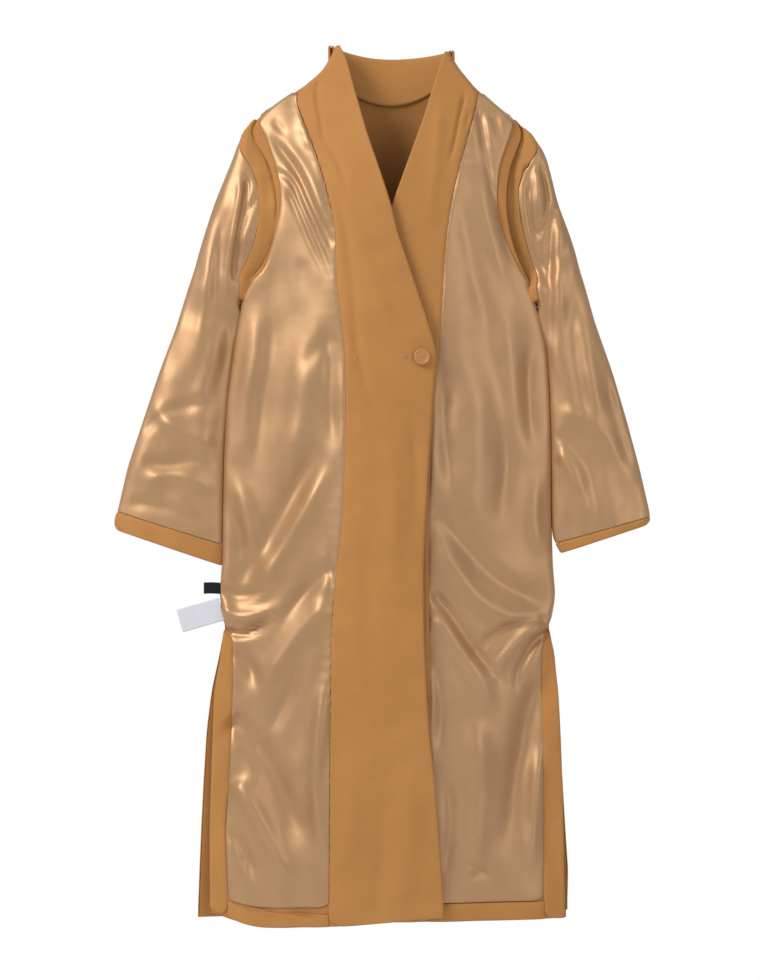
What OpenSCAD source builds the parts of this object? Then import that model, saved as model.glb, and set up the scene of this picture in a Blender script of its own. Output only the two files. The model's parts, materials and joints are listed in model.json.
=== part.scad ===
// Long lined coat, turned inside out and hung up, with its fronts lapped over and held by one button.
// Millimetres. +Z is up and the front faces -Y. The origin is the middle of the neck opening, level
// with the back-neck seam. The outer cloth is the inner layer here, and the lining faces outwards.

/* [Cloth] */
// Thickness of the outer cloth
cloth_t = 1.4; // [0.8:0.1:1.6]
// Thickness of the lining and of the facings
lining_t = 1.2; // [0.8:0.1:1.4]
// Air between the outer cloth and the lining
layer_gap = 1.6; // [1.4:0.1:2]
// Room left at a seam between two pieces of one layer
seam_gap = 1; // [0.6:0.1:1.4]

/* [Body] */
// Half depth of the body at the chest
chest_depth = 50; // [40:1:60]
// How far the lapped front stands clear of the front beneath it
lap_lift = 11.5; // [11:0.5:12]

/* [Sleeves] */
// Half depth of a hanging sleeve
sleeve_depth = 20; // [15:1:22]

/* [Collar] */
// Width of the neck opening inside the collar
neck_w = 162; // [156:1:166]
// Depth of the neck opening inside the collar
neck_d = 46; // [42:1:48]

/* [Buttons] */
// Diameter of both buttons
button_d = 22.4; // [18:0.2:24]
// Thickness of a button
button_t = 3; // [2.4:0.1:3.2]
// Diameter of a thread hole
hole_d = 1.9; // [1.4:0.1:2.2]
// Distance between the two thread holes
hole_pitch = 4.5; // [3.6:0.1:6]

/* [Labels] */
// Length of the care label
care_w = 52; // [40:1:56]
// Height of the care label
care_h = 32; // [24:1:34]

/* [Hidden] */

OCHRE = [0.75, 0.53, 0.29];
SATIN = [0.74, 0.59, 0.43];

// Layers as distances out from the body's own surface: [inside face, outside face]
SHELL = [1, 1 + cloth_t];
SKIN = [SHELL[1] + layer_gap, SHELL[1] + layer_gap + lining_t];

// Half depth of the body at each height
DEPTH = [[67, 14], [31, 18], [0, 24], [-54, 34], [-156, chest_depth - 4], [-300, chest_depth],
    [-500, chest_depth], [-731, chest_depth - 4], [-1124, chest_depth - 8]];
// Distance from the middle to where front and back meet, at each height
LEFT_REACH = [[67, 92], [31, 104], [6, 132], [-11, 152], [-34, 184], [-54, 200], [-98, 212],
    [-159, 222], [-206, 222], [-243, 215], [-266, 208], [-301, 206], [-352, 213], [-426, 222],
    [-489, 224], [-641, 228], [-731, 228], [-880, 248], [-1124, 262]];
RIGHT_REACH = [[67, 98], [31, 118], [6, 140], [-11, 160], [-34, 190], [-54, 205], [-98, 215],
    [-159, 228], [-206, 230], [-243, 226], [-276, 218], [-301, 218], [-352, 229], [-426, 232],
    [-641, 236], [-731, 240], [-880, 250], [-1124, 262]];

// Edges, as [height, x]. Left and right are the viewer's.
LEFT_FRONT_EDGE = [[67, -61], [49, -51], [9, -41], [-59, -22], [-109, -5], [-156, 10], [-189, 17],
    [-241, 35], [-301, 55], [-352, 71], [-379, 70], [-426, 65], [-489, 61], [-580, 56], [-640, 53],
    [-731, 54], [-801, 57], [-880, 62], [-944, 70], [-1031, 76], [-1124, 81]];
LEFT_FACING_EDGE = [[67, -66], [49, -75], [31, -84], [6, -118], [-11, -121], [-78, -95],
    [-144, -75], [-191, -66], [-264, -64], [-326, -55], [-364, -52], [-464, -51], [-580, -56],
    [-666, -66], [-731, -72], [-1124, -75]];
LEFT_LINING_EDGE = [[6, -121], [-11, -147], [-29, -174], [-34, -175], [-54, -162], [-98, -147],
    [-128, -140], [-159, -140], [-206, -151], [-243, -163], [-266, -194], [-301, -200],
    [-352, -208], [-426, -217], [-489, -219], [-641, -222], [-661, -221], [-684, -225],
    [-719, -220], [-731, -218]];
LEFT_SEAM = [[67, -66], [49, -75], [31, -84], [6, -119], [-11, -147], [-34, -178], [-54, -184],
    [-72, -171], [-98, -158], [-130, -149], [-159, -147], [-191, -150], [-216, -157], [-243, -173],
    [-266, -196], [-301, -201], [-352, -208], [-426, -217], [-489, -219], [-641, -222],
    [-661, -221], [-684, -225], [-719, -220], [-731, -218]];

RIGHT_FRONT_EDGE = [[59, 83], [50, 80], [4, 65], [-31, 55], [-156, 10], [-200, -8], [-260, -40],
    [-300, -50], [-731, -50], [-1124, -54]];
RIGHT_FACING_EDGE = [[59, 90], [49, 94], [31, 106], [6, 129], [-11, 128], [-41, 120], [-81, 109],
    [-131, 95], [-194, 85], [-244, 81], [-329, 76], [-400, 70], [-460, 65], [-526, 60],
    [-731, 61], [-832, 63], [-1124, 62]];
RIGHT_LINING_EDGE = [[6, 132], [-11, 150], [-34, 179], [-69, 167], [-111, 153], [-156, 153],
    [-201, 164], [-241, 184], [-266, 203], [-289, 210], [-334, 223], [-414, 227], [-489, 229],
    [-580, 229], [-646, 231], [-699, 236], [-716, 234], [-731, 226]];
RIGHT_SEAM = [[59, 90], [49, 94], [31, 106], [6, 130], [-11, 150], [-34, 182], [-54, 192],
    [-72, 185], [-98, 174], [-131, 168], [-169, 168], [-206, 176], [-243, 192], [-266, 206],
    [-289, 211], [-334, 223], [-414, 227], [-489, 229], [-580, 229], [-646, 231], [-699, 236],
    [-716, 234], [-731, 226]];

// Vents: the edges of the front and back skirts, and where the lining stops inside them
LEFT_VENT = [[-731, -218], [-764, -223], [-779, -227], [-819, -232], [-918, -235], [-1000, -238],
    [-1124, -237]];
LEFT_VENT_LINING = [[-731, -206], [-801, -206], [-869, -208], [-932, -211], [-1000, -217],
    [-1124, -212]];
RIGHT_VENT = [[-731, 226], [-764, 232], [-814, 238], [-918, 243], [-1064, 246], [-1124, 247]];
RIGHT_VENT_LINING = [[-731, 217], [-796, 214], [-917, 217], [-1124, 218]];
BACK_VENT_LEFT = [[-731, -219], [-770, -226], [-824, -238], [-882, -244], [-1019, -251],
    [-1124, -255]];
BACK_VENT_RIGHT = [[-731, 226], [-770, 235], [-964, 246], [-1064, 252], [-1124, 251]];

// Top of the back across the neck and shoulders, as [x, height]
BACK_TOP = [[-184, -36], [-147, -11], [-119, 6], [-84, 30], [-60, 14], [-30, 3], [10, 0.5], [50, 3],
    [80, 14], [106, 28], [130, 6], [150, -11], [190, -40]];
// Rise and fall of the lapped front's hem, as [x, height]
LEFT_HEM = [[-240, 10], [-203, -3], [-167, -11], [-77, -6], [-5, 0], [32, 4], [81, 7]];
HEM_START = -1000;
HEM_END = -1124;

// Heights of the rows that make up each panel
NECK_ROWS = [49, 31, 6, -11, -34];
BODY_ROWS = [-54, -78, -98, -128, -159, -191, -216, -243, -266, -301, -352, -414, -489, -580,
    -646, -684, -730.4];
SKIRT_ROWS = [-731.6, -764, -814, -869, -932, -1000, -1064];
HEM_ROWS = [-1099.6, -1112, HEM_END];
HEM_SEAM = -1098.4;
LINING_ROWS = concat(SKIRT_ROWS, [HEM_SEAM]);
FULL_ROWS = concat(SKIRT_ROWS, [-1095, HEM_END]);
ARMHOLE_ROWS = [-52, -65, -78, -98, -128, -159, -191, -216, -243, -258];

// Sleeve head rings from shoulder to underarm: [seam x, z, outer x, z, bulge, facing's turn]
LEFT_HEAD = [[-189, -53, -198, -61, 1, 17], [-175, -72, -205, -84, 3, 18],
    [-161, -98, -217, -113, 5, 17], [-151.5, -132, -232, -150, 6, 16], [-150, -163, -243, -184, 8, 15],
    [-157, -203, -252, -213, 10, 13], [-177, -238, -258, -236, 12, 9], [-199, -264, -260, -243, 13, 6],
    [-202.5, -285, -262, -248.6, 13, 4]];
RIGHT_HEAD = [[196, -50, 209, -62, 1, 17], [188, -70, 221, -82, 3, 18],
    [176, -99, 229, -112, 5, 17], [170.5, -133, 238, -150, 6, 16], [171, -168, 252, -186, 8, 15],
    [179, -205, 262, -216, 10, 13], [195, -240, 267, -238, 12, 9], [209, -266, 269.5, -245, 13, 6],
    [214.5, -286.6, 271, -250.6, 13, 4]];
// Sleeve rings from underarm to wrist: [left x, z, right x, z, share of the sleeve's depth]
LEFT_SLEEVE = [[-263, -250, -201, -287, 0.85], [-284, -318, -208, -345, 1], [-308, -382, -216, -410, 1],
    [-330, -448, -222, -475, 1], [-350, -508, -224, -545, 0.97], [-364.6, -571.6, -225, -611.6, 0.9]];
LEFT_CUFF = [[-365, -573, -225, -613, 0.9], [-369, -585, -225.4, -628, 0.87], [-373, -597, -226, -643, 0.85]];
RIGHT_SLEEVE = [[214, -288, 272, -252, 0.85], [226, -340, 288, -310, 1], [230, -400, 312, -378, 1],
    [232, -466, 332, -446, 1], [233, -534, 349, -509, 0.97], [234, -611.6, 365, -579, 0.9]];
RIGHT_CUFF = [[234.6, -613, 365, -580.4, 0.9], [241, -620, 366, -585, 0.87], [250, -626, 367, -590, 0.85]];
RING_SIDES = 18;
HEAD_STEPS = 12;
FACING_STEPS = 2;

// The button that shows stands on the lapped front; the other is on that front's far face
BUTTON_AT = [51, -361];
OUTER_BUTTON_AT = [-38, -362];
BUTTONHOLE = [25, 56];
SLIT_H = 4.6;
SHANK_D = 2.6;
RIM_W = 2.2;
BUTTON_STANDOFF = 3;
BUTTON_STEP = 1.6;
BACK_CLEARANCE = 2.1;
BUTTON_SIDES = 64;
HOLE_SIDES = 24;
STITCH = [4, 0.8];

MAKER_LABEL_AT = [-228, -674];
MAKER_LABEL = [18, 15.5];
CARE_LABEL_AT = [-233, -689];
CARE_TILT = 16;
LEAF_T = 0.6;

LOOP_W = 60;
LOOP_DROP = 14;
LOOP_BAND = 4;
LOOP_T = 1.5;
LOOP_AT = [0, 34, -1];

// Shape of the body
function ease(t) = (1 - cos(180 * min(1, max(0, t)))) / 2;
function reach(x, z) = lookup(z, x < 0 ? LEFT_REACH : RIGHT_REACH);
function swell(x, z) = lookup(z, DEPTH) * cos(90 * min(1, abs(x) / reach(x, z)));
function lap(x, z) = lap_lift * ease((x + 150) / 110) * ease((-40 - z) / 110);
function outside(x, z) = swell(x, z) + lap(x, z) + SKIN[1];
function hem_fall(x, z) = max(0, (HEM_START - z) / (HEM_START - HEM_END)) * lookup(x, LEFT_HEM);

// Rows of [z, x, x] between two edges, each edge moved in by half a seam
function between(rows, a, b) =
    [for (z = rows) [z, lookup(z, a) + seam_gap / 2, lookup(z, b) - seam_gap / 2]];

function flat(grid) = [for (row = grid) each row];
function quad(a, b, c, d) = [[a, b, c], [a, c, d]];
function turned(faces) = [for (f = faces) [f[0], f[2], f[1]]];

// A closed layer between two grids of points; a ring's columns join up with each other
module layer(outer, inner, ring = false, turn = false) {
    rows = len(outer);
    cols = len(outer[0]);
    inside = rows * cols;
    last = ring ? cols - 1 : cols - 2;
    down = [for (r = [0:rows - 2]) r * cols];
    foot = (rows - 1) * cols;
    faces = concat(
        [for (r = down, c = [0:last], n = [(c + 1) % cols])
            each quad(r + c, r + n, r + cols + n, r + cols + c)],
        [for (r = down, c = [0:last], n = [(c + 1) % cols])
            each quad(inside + r + c, inside + r + cols + c, inside + r + cols + n, inside + r + n)],
        [for (c = [0:last], n = [(c + 1) % cols]) each quad(c, inside + c, inside + n, n)],
        [for (c = [0:last], n = [(c + 1) % cols])
            each quad(foot + c, foot + n, inside + foot + n, inside + foot + c)],
        ring ? [] : [for (r = down) each quad(r, r + cols, inside + r + cols, inside + r)],
        ring ? [] : [for (r = down, e = [cols - 1])
            each quad(r + cols + e, r + e, inside + r + e, inside + r + cols + e)]
    );
    polyhedron(concat(flat(outer), flat(inner)), turn ? turned(faces) : faces);
}

// A panel of the body. side is -1 for the front and 1 for the back.
module panel(rows, steps, side, span, lapped = false, hem = false, top = []) {
    function at(r, t, out) =
        let (x = rows[r][1] + t * (rows[r][2] - rows[r][1]),
            z = r == 0 && len(top) > 0 ? lookup(x, top) : rows[r][0],
            y = swell(x, z) + out + (lapped ? lap(x, z) : 0))
        [x, side * y, z + (hem ? hem_fall(x, z) : 0)];
    function grid(out) = [for (r = [0:len(rows) - 1]) [for (c = [0:steps]) at(r, c / steps, out)]];
    layer(grid(span[1]), grid(span[0]), turn = side > 0);
}

// A sleeve head from front seam round its outer edge to back seam, between two turns of the arc
module head(rings, span, from, to, left, steps = HEAD_STEPS) {
    function at(ring, a, out) =
        let (x_out = ring[2] + (left ? 1 : -1) * (SKIN[1] - out),
            deep = swell(ring[0], ring[1]) + out)
        [ring[0] + (x_out - ring[0]) * sin(a), -cos(a) * deep - ring[4] * sin(2 * a),
            ring[1] + (ring[3] - ring[1]) * sin(a)];
    function turn_at(ring, a) = a[0] + a[1] * ring[5];
    function grid(out) = [for (ring = rings) [for (c = [0:steps])
        at(ring, turn_at(ring, from) + (turn_at(ring, to) - turn_at(ring, from)) * c / steps, out)]];
    layer(grid(span[1]), grid(span[0]), turn = left);
}

// A hanging sleeve as a flattened tube
module sleeve(rings, span) {
    function at(ring, a, out) =
        let (in = SKIN[1] - out, half = (ring[2] - ring[0]) / 2 - in,
            slope = (ring[3] - ring[1]) / (ring[2] - ring[0]))
        [(ring[0] + ring[2]) / 2 + half * cos(a), (sleeve_depth * ring[4] - in) * sin(a),
            (ring[1] + ring[3]) / 2 + half * cos(a) * slope];
    function grid(out) =
        [for (ring = rings) [for (c = [0:RING_SIDES - 1]) at(ring, c * 360 / RING_SIDES, out)]];
    layer(grid(span[1]), grid(span[0]), ring = true);
}

// The standing collar, round the back of the neck from one front edge to the other
module collar(inner, thick) {
    function at(a, level, out) =
        let (top = 51 + 15 * pow(cos(a), 2) * (cos(a) < 0 ? 1 : 0.55),
            foot = 3 + 28 * pow(cos(a), 2))
        [10 + (neck_w / 2 + out) * cos(a), (neck_d / 2 + out) * sin(a), foot + (top - foot) * level];
    function grid(out) = [for (level = [1, 0.5, 0]) [for (a = [192:-17:-12]) at(a, level, out)]];
    layer(grid(inner + thick), grid(inner), turn = true);
}

module along_y() { rotate([90, 0, 0]) children(); }

module slit() {
    cut = 30;
    translate([BUTTONHOLE[0], -outside(BUTTON_AT[0], BUTTON_AT[1]) - cut / 2, BUTTON_AT[1] - SLIT_H / 2])
        cube([BUTTONHOLE[1] - BUTTONHOLE[0], cut, SLIT_H]);
}

// A two-hole button, its face towards -Y
module button() {
    color("peru") along_y() difference() {
        union() {
            cylinder(d = button_d, h = button_t * 0.7, $fn = BUTTON_SIDES);
            cylinder(d = button_d - BUTTON_STEP, h = button_t, $fn = BUTTON_SIDES);
        }
        translate([0, 0, button_t * 0.72])
            cylinder(d = button_d - BUTTON_STEP - 2 * RIM_W, h = button_t, $fn = BUTTON_SIDES);
        for (s = [-1, 1]) translate([s * hole_pitch / 2, 0, -1])
            cylinder(d = hole_d, h = 2 * button_t, $fn = HOLE_SIDES);
    }
}

// Fronts above the vents
module front_left_shell() {
    color(OCHRE) difference() {
        panel(between(concat([66], NECK_ROWS, BODY_ROWS), LEFT_SEAM, LEFT_FRONT_EDGE), 11, -1, SHELL,
            lapped = true);
        slit();
    }
}
module front_left_facing() {
    color(OCHRE) difference() {
        panel(between(concat([66], NECK_ROWS, BODY_ROWS), LEFT_FACING_EDGE, LEFT_FRONT_EDGE), 7, -1, SKIN,
            lapped = true);
        slit();
    }
}
module front_left_lining() {
    color(SATIN) panel(between(concat([2, -11, -34], BODY_ROWS), LEFT_LINING_EDGE, LEFT_FACING_EDGE), 6,
        -1, SKIN, lapped = true);
}
module front_right_shell() {
    color(OCHRE) panel(between(concat([58], NECK_ROWS, BODY_ROWS), RIGHT_FRONT_EDGE, RIGHT_SEAM), 11, -1,
        SHELL);
}
module front_right_facing() {
    color(OCHRE) panel(between(concat([58], NECK_ROWS, BODY_ROWS), RIGHT_FRONT_EDGE, RIGHT_FACING_EDGE),
        6, -1, SKIN);
}
module front_right_lining() {
    color(SATIN) panel(between(concat([1, -11, -34], BODY_ROWS), RIGHT_FACING_EDGE, RIGHT_LINING_EDGE), 7,
        -1, SKIN);
}

// Back above the vents
module back_shell() {
    color(OCHRE) panel(between(concat([-34, -48], BODY_ROWS), LEFT_SEAM, RIGHT_SEAM), 14, 1, SHELL,
        top = BACK_TOP);
}
module back_yoke_facing() {
    color(OCHRE) panel(between([-34, -48, -54, -77.4], LEFT_LINING_EDGE, RIGHT_LINING_EDGE), 14, 1, SKIN,
        top = BACK_TOP);
}
module back_lining() {
    color(SATIN) panel(between(concat([-78.6], [for (i = [2:len(BODY_ROWS) - 1]) BODY_ROWS[i]]),
        LEFT_LINING_EDGE, RIGHT_LINING_EDGE), 14, 1, SKIN);
}
module collar_outer() { color(OCHRE) collar(3, cloth_t); }
module collar_inner() { color(OCHRE) collar(0, lining_t); }

// Bands round the armholes, front and back
module armhole_facing(lining_edge, seam) {
    color(OCHRE) for (side = [-1, 1]) panel(between(ARMHOLE_ROWS, lining_edge, seam), 1, side, SKIN);
}
module armhole_facing_left() { armhole_facing(LEFT_SEAM, LEFT_LINING_EDGE); }
module armhole_facing_right() { armhole_facing(RIGHT_LINING_EDGE, RIGHT_SEAM); }

// Sleeve heads, which stay with the body
module head_shell(rings, left) { color(OCHRE) head(rings, SHELL, [0, 0], [180, 0], left); }
module head_lining(rings, left) { color(SATIN) head(rings, SKIN, [1, 1], [179, -1], left); }
module head_facing(rings, left) {
    color(OCHRE) {
        head(rings, SKIN, [0, 0], [0, 0.94], left, FACING_STEPS);
        head(rings, SKIN, [180, -0.94], [180, 0], left, FACING_STEPS);
    }
}
module sleeve_head_shell_left() { head_shell(LEFT_HEAD, true); }
module sleeve_head_lining_left() { head_lining(LEFT_HEAD, true); }
module sleeve_head_facing_left() { head_facing(LEFT_HEAD, true); }
module sleeve_head_shell_right() { head_shell(RIGHT_HEAD, false); }
module sleeve_head_lining_right() { head_lining(RIGHT_HEAD, false); }
module sleeve_head_facing_right() { head_facing(RIGHT_HEAD, false); }

// Sleeves, which lift from the underarm
module sleeve_shell_left() { color(OCHRE) sleeve(concat(LEFT_SLEEVE, [LEFT_CUFF[2]]), SHELL); }
module sleeve_lining_left() { color(SATIN) sleeve(LEFT_SLEEVE, SKIN); }
module cuff_facing_left() { color(OCHRE) sleeve(LEFT_CUFF, SKIN); }
module sleeve_shell_right() { color(OCHRE) sleeve(concat(RIGHT_SLEEVE, [RIGHT_CUFF[2]]), SHELL); }
module sleeve_lining_right() { color(SATIN) sleeve(RIGHT_SLEEVE, SKIN); }
module cuff_facing_right() { color(OCHRE) sleeve(RIGHT_CUFF, SKIN); }

// Skirts below the vent tops
module skirt_left_shell() {
    color(OCHRE) panel(between(FULL_ROWS, LEFT_VENT, LEFT_FRONT_EDGE), 11, -1, SHELL, true, true);
}
module skirt_left_facing() {
    color(OCHRE) panel(between(FULL_ROWS, LEFT_FACING_EDGE, LEFT_FRONT_EDGE), 7, -1, SKIN, true, true);
}
module skirt_left_lining() {
    color(SATIN) panel(between(LINING_ROWS, LEFT_VENT_LINING, LEFT_FACING_EDGE), 6, -1, SKIN, true, true);
}
module skirt_left_vent_facing() {
    color(OCHRE) panel(between(FULL_ROWS, LEFT_VENT, LEFT_VENT_LINING), 1, -1, SKIN, true, true);
}
module skirt_left_hem_facing() {
    color(OCHRE) panel(between(HEM_ROWS, LEFT_VENT_LINING, LEFT_FACING_EDGE), 6, -1, SKIN, true, true);
}
module skirt_right_shell() {
    color(OCHRE) panel(between(FULL_ROWS, RIGHT_FRONT_EDGE, RIGHT_VENT), 11, -1, SHELL);
}
module skirt_right_facing() {
    color(OCHRE) panel(between(FULL_ROWS, RIGHT_FRONT_EDGE, RIGHT_FACING_EDGE), 5, -1, SKIN);
}
module skirt_right_lining() {
    color(SATIN) panel(between(LINING_ROWS, RIGHT_FACING_EDGE, RIGHT_VENT_LINING), 7, -1, SKIN);
}
module skirt_right_vent_facing() {
    color(OCHRE) panel(between(FULL_ROWS, RIGHT_VENT_LINING, RIGHT_VENT), 1, -1, SKIN);
}
module skirt_right_hem_facing() {
    color(OCHRE) panel(between(HEM_ROWS, RIGHT_FACING_EDGE, RIGHT_VENT_LINING), 7, -1, SKIN);
}
module skirt_back_shell() {
    color(OCHRE) panel(between(FULL_ROWS, BACK_VENT_LEFT, BACK_VENT_RIGHT), 14, 1, SHELL);
}
module skirt_back_lining() {
    color(SATIN) panel(between(LINING_ROWS, LEFT_VENT_LINING, RIGHT_VENT_LINING), 14, 1, SKIN);
}
module skirt_back_vent_facing_left() {
    color(OCHRE) panel(between(FULL_ROWS, BACK_VENT_LEFT, LEFT_VENT_LINING), 1, 1, SKIN);
}
module skirt_back_vent_facing_right() {
    color(OCHRE) panel(between(FULL_ROWS, RIGHT_VENT_LINING, BACK_VENT_RIGHT), 1, 1, SKIN);
}
module skirt_back_hem_facing() {
    color(OCHRE) panel(between(HEM_ROWS, LEFT_VENT_LINING, RIGHT_VENT_LINING), 14, 1, SKIN);
}

// Fastening: the button sewn to the front beneath comes through the lapped front's buttonhole
module buttonhole() {
    mid = (BUTTONHOLE[0] + BUTTONHOLE[1]) / 2;
    run = BUTTONHOLE[1] - BUTTONHOLE[0];
    tilt = atan((outside(BUTTONHOLE[0], BUTTON_AT[1]) - outside(BUTTONHOLE[1], BUTTON_AT[1])) / run);
    color("tan") translate([mid, -outside(mid, BUTTON_AT[1]) - 0.4, BUTTON_AT[1]]) rotate([0, 0, tilt])
        along_y() linear_extrude(0.9) difference() {
            square([run + 3, SLIT_H + 4], center = true);
            square([run - 0.5, SLIT_H], center = true);
        }
}
module inner_button() {
    translate([BUTTON_AT[0], -outside(BUTTON_AT[0], BUTTON_AT[1]) - BUTTON_STANDOFF, BUTTON_AT[1]]) button();
}
module inner_button_thread() {
    back = outside(BUTTON_AT[0], BUTTON_AT[1]) + BUTTON_STANDOFF;
    root = swell(BUTTON_AT[0], BUTTON_AT[1]) + SKIN[1] + 0.6;
    color("tan") {
        translate([BUTTON_AT[0], -root, BUTTON_AT[1]]) along_y()
            cylinder(d = SHANK_D, h = back - root, $fn = HOLE_SIDES);
        translate([BUTTON_AT[0] - hole_pitch / 2, -back - button_t * 0.72 - 1, BUTTON_AT[1] - 0.5])
            cube([hole_pitch, 1, 1]);
    }
}
module outer_button() {
    inside = swell(OUTER_BUTTON_AT[0], OUTER_BUTTON_AT[1]) + lap(OUTER_BUTTON_AT[0], OUTER_BUTTON_AT[1])
        + SHELL[0];
    translate([OUTER_BUTTON_AT[0], -inside + BACK_CLEARANCE + button_t, OUTER_BUTTON_AT[1]]) button();
}
module outer_button_stitches() {
    color("tan") translate([OUTER_BUTTON_AT[0], -outside(OUTER_BUTTON_AT[0], OUTER_BUTTON_AT[1]) - 0.3,
        OUTER_BUTTON_AT[1]]) along_y() for (s = [-1, 1])
            translate([0, s * STITCH[1], STITCH[1] / 2]) cube([STITCH[0], STITCH[1], STITCH[1]], center = true);
}

// Labels in the side seam
module maker_label() {
    color([0.1, 0.1, 0.13])
        translate([MAKER_LABEL_AT[0] - MAKER_LABEL[0], -4, MAKER_LABEL_AT[1] - MAKER_LABEL[1] / 2])
            cube([MAKER_LABEL[0], LEAF_T, MAKER_LABEL[1]]);
}
module care_label() {
    color("whitesmoke") translate([CARE_LABEL_AT[0], -6, CARE_LABEL_AT[1]]) rotate([0, -CARE_TILT, 0]) {
        translate([-care_w, 0, -care_h]) cube([care_w, LEAF_T, care_h]);
        translate([-care_w + 1, -1.2, -care_h + 1]) cube([care_w - 1, LEAF_T, care_h - 1]);
        translate([-3, -LEAF_T, -care_h + 1]) cube([3, LEAF_T, care_h - 1]);
    }
}

// Loop of cloth that hangs the coat up, sewn at the back of the neck
module hanger_loop() {
    ring_w = LOOP_W - 2 * LOOP_BAND;
    color(OCHRE) translate(LOOP_AT) {
        rotate([90, 0, 180]) linear_extrude(LOOP_T) difference() {
            translate([-LOOP_W / 2, -LOOP_DROP]) square([LOOP_W, LOOP_DROP]);
            translate([-ring_w / 2, -LOOP_DROP + LOOP_BAND]) square([ring_w, LOOP_DROP - 2 * LOOP_BAND]);
        }
        for (s = [-1, 1]) translate([s * (LOOP_W - LOOP_BAND) / 2 - LOOP_BAND / 2, -3, -2])
            cube([LOOP_BAND, 3, 2]);
    }
}

front_left_shell();
front_left_facing();
front_left_lining();
front_right_shell();
front_right_facing();
front_right_lining();
back_shell();
back_yoke_facing();
back_lining();
collar_outer();
collar_inner();
armhole_facing_left();
armhole_facing_right();
sleeve_head_shell_left();
sleeve_head_lining_left();
sleeve_head_facing_left();
sleeve_head_shell_right();
sleeve_head_lining_right();
sleeve_head_facing_right();
sleeve_shell_left();
sleeve_lining_left();
cuff_facing_left();
sleeve_shell_right();
sleeve_lining_right();
cuff_facing_right();
skirt_left_shell();
skirt_left_facing();
skirt_left_lining();
skirt_left_vent_facing();
skirt_left_hem_facing();
skirt_right_shell();
skirt_right_facing();
skirt_right_lining();
skirt_right_vent_facing();
skirt_right_hem_facing();
skirt_back_shell();
skirt_back_lining();
skirt_back_vent_facing_left();
skirt_back_vent_facing_right();
skirt_back_hem_facing();
buttonhole();
inner_button();
inner_button_thread();
outer_button();
outer_button_stitches();
maker_label();
care_label();
hanger_loop();
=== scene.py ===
"""A long lined coat hung inside out: satin lining outwards, ochre cloth facings, collar and inner shell.

The body's panels are laid over the depth of CAD nodes, between edges read from CAD nodes. The sleeves and
the collar are rings whose outlines come partly from the CAD and partly from values set here. Folds are
displacement in code, given one by one; nothing is simulated. Lengths are in metres unless a name ends in _mm.
Left and right are the viewer's.
"""

import json
import math

import bmesh
import bpy
import numpy as np
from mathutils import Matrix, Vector


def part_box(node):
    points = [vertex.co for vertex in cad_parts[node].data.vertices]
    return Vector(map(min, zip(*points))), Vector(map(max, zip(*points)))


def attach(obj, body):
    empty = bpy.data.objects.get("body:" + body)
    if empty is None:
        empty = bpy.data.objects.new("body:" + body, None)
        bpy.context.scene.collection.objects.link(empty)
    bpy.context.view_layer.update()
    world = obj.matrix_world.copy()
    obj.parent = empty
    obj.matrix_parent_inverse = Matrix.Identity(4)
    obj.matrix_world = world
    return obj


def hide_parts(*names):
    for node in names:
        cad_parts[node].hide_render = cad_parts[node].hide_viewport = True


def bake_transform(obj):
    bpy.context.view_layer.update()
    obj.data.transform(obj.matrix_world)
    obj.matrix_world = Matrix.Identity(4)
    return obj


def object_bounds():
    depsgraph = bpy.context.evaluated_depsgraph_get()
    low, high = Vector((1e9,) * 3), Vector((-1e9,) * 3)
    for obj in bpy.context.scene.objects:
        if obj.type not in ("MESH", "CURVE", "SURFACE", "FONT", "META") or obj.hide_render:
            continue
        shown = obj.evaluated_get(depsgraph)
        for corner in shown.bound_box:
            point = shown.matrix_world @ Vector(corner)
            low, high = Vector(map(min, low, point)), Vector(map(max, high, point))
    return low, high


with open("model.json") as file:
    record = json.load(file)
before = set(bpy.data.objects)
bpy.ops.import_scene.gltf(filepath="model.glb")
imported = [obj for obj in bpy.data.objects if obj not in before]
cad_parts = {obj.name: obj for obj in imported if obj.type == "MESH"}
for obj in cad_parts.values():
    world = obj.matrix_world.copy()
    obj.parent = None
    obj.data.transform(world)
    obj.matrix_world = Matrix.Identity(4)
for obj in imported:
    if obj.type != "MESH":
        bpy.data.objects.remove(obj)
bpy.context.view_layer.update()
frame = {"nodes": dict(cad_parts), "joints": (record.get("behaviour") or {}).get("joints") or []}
MM = 0.001

# ---------------------------------------------------------------- camera, light and floor
LENS_MM = 100.0
SENSOR_MM = 36.0
FRAME_HEIGHT = 1.323
AIM = Vector((-0.0054, -0.045, -0.540))
FLOOR_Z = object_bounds()[0].z - 0.8


def add_camera():
    data = bpy.data.cameras.new("camera")
    data.lens = LENS_MM
    data.sensor_width = SENSOR_MM
    camera = bpy.data.objects.new("camera", data)
    camera.location = AIM + Vector((0, -FRAME_HEIGHT * LENS_MM / SENSOR_MM, 0))
    camera.rotation_euler = (math.radians(90), 0, 0)
    bpy.context.scene.collection.objects.link(camera)
    bpy.context.scene.camera = camera


def add_lamp(name, at, size, watts):
    data = bpy.data.lights.new(name, "AREA")
    data.shape = "RECTANGLE"
    data.size, data.size_y = size
    data.energy = watts
    lamp = bpy.data.objects.new(name, data)
    lamp.location = at
    lamp.rotation_euler = (AIM - Vector(at)).to_track_quat("-Z", "Y").to_euler()
    bpy.context.scene.collection.objects.link(lamp)


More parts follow.
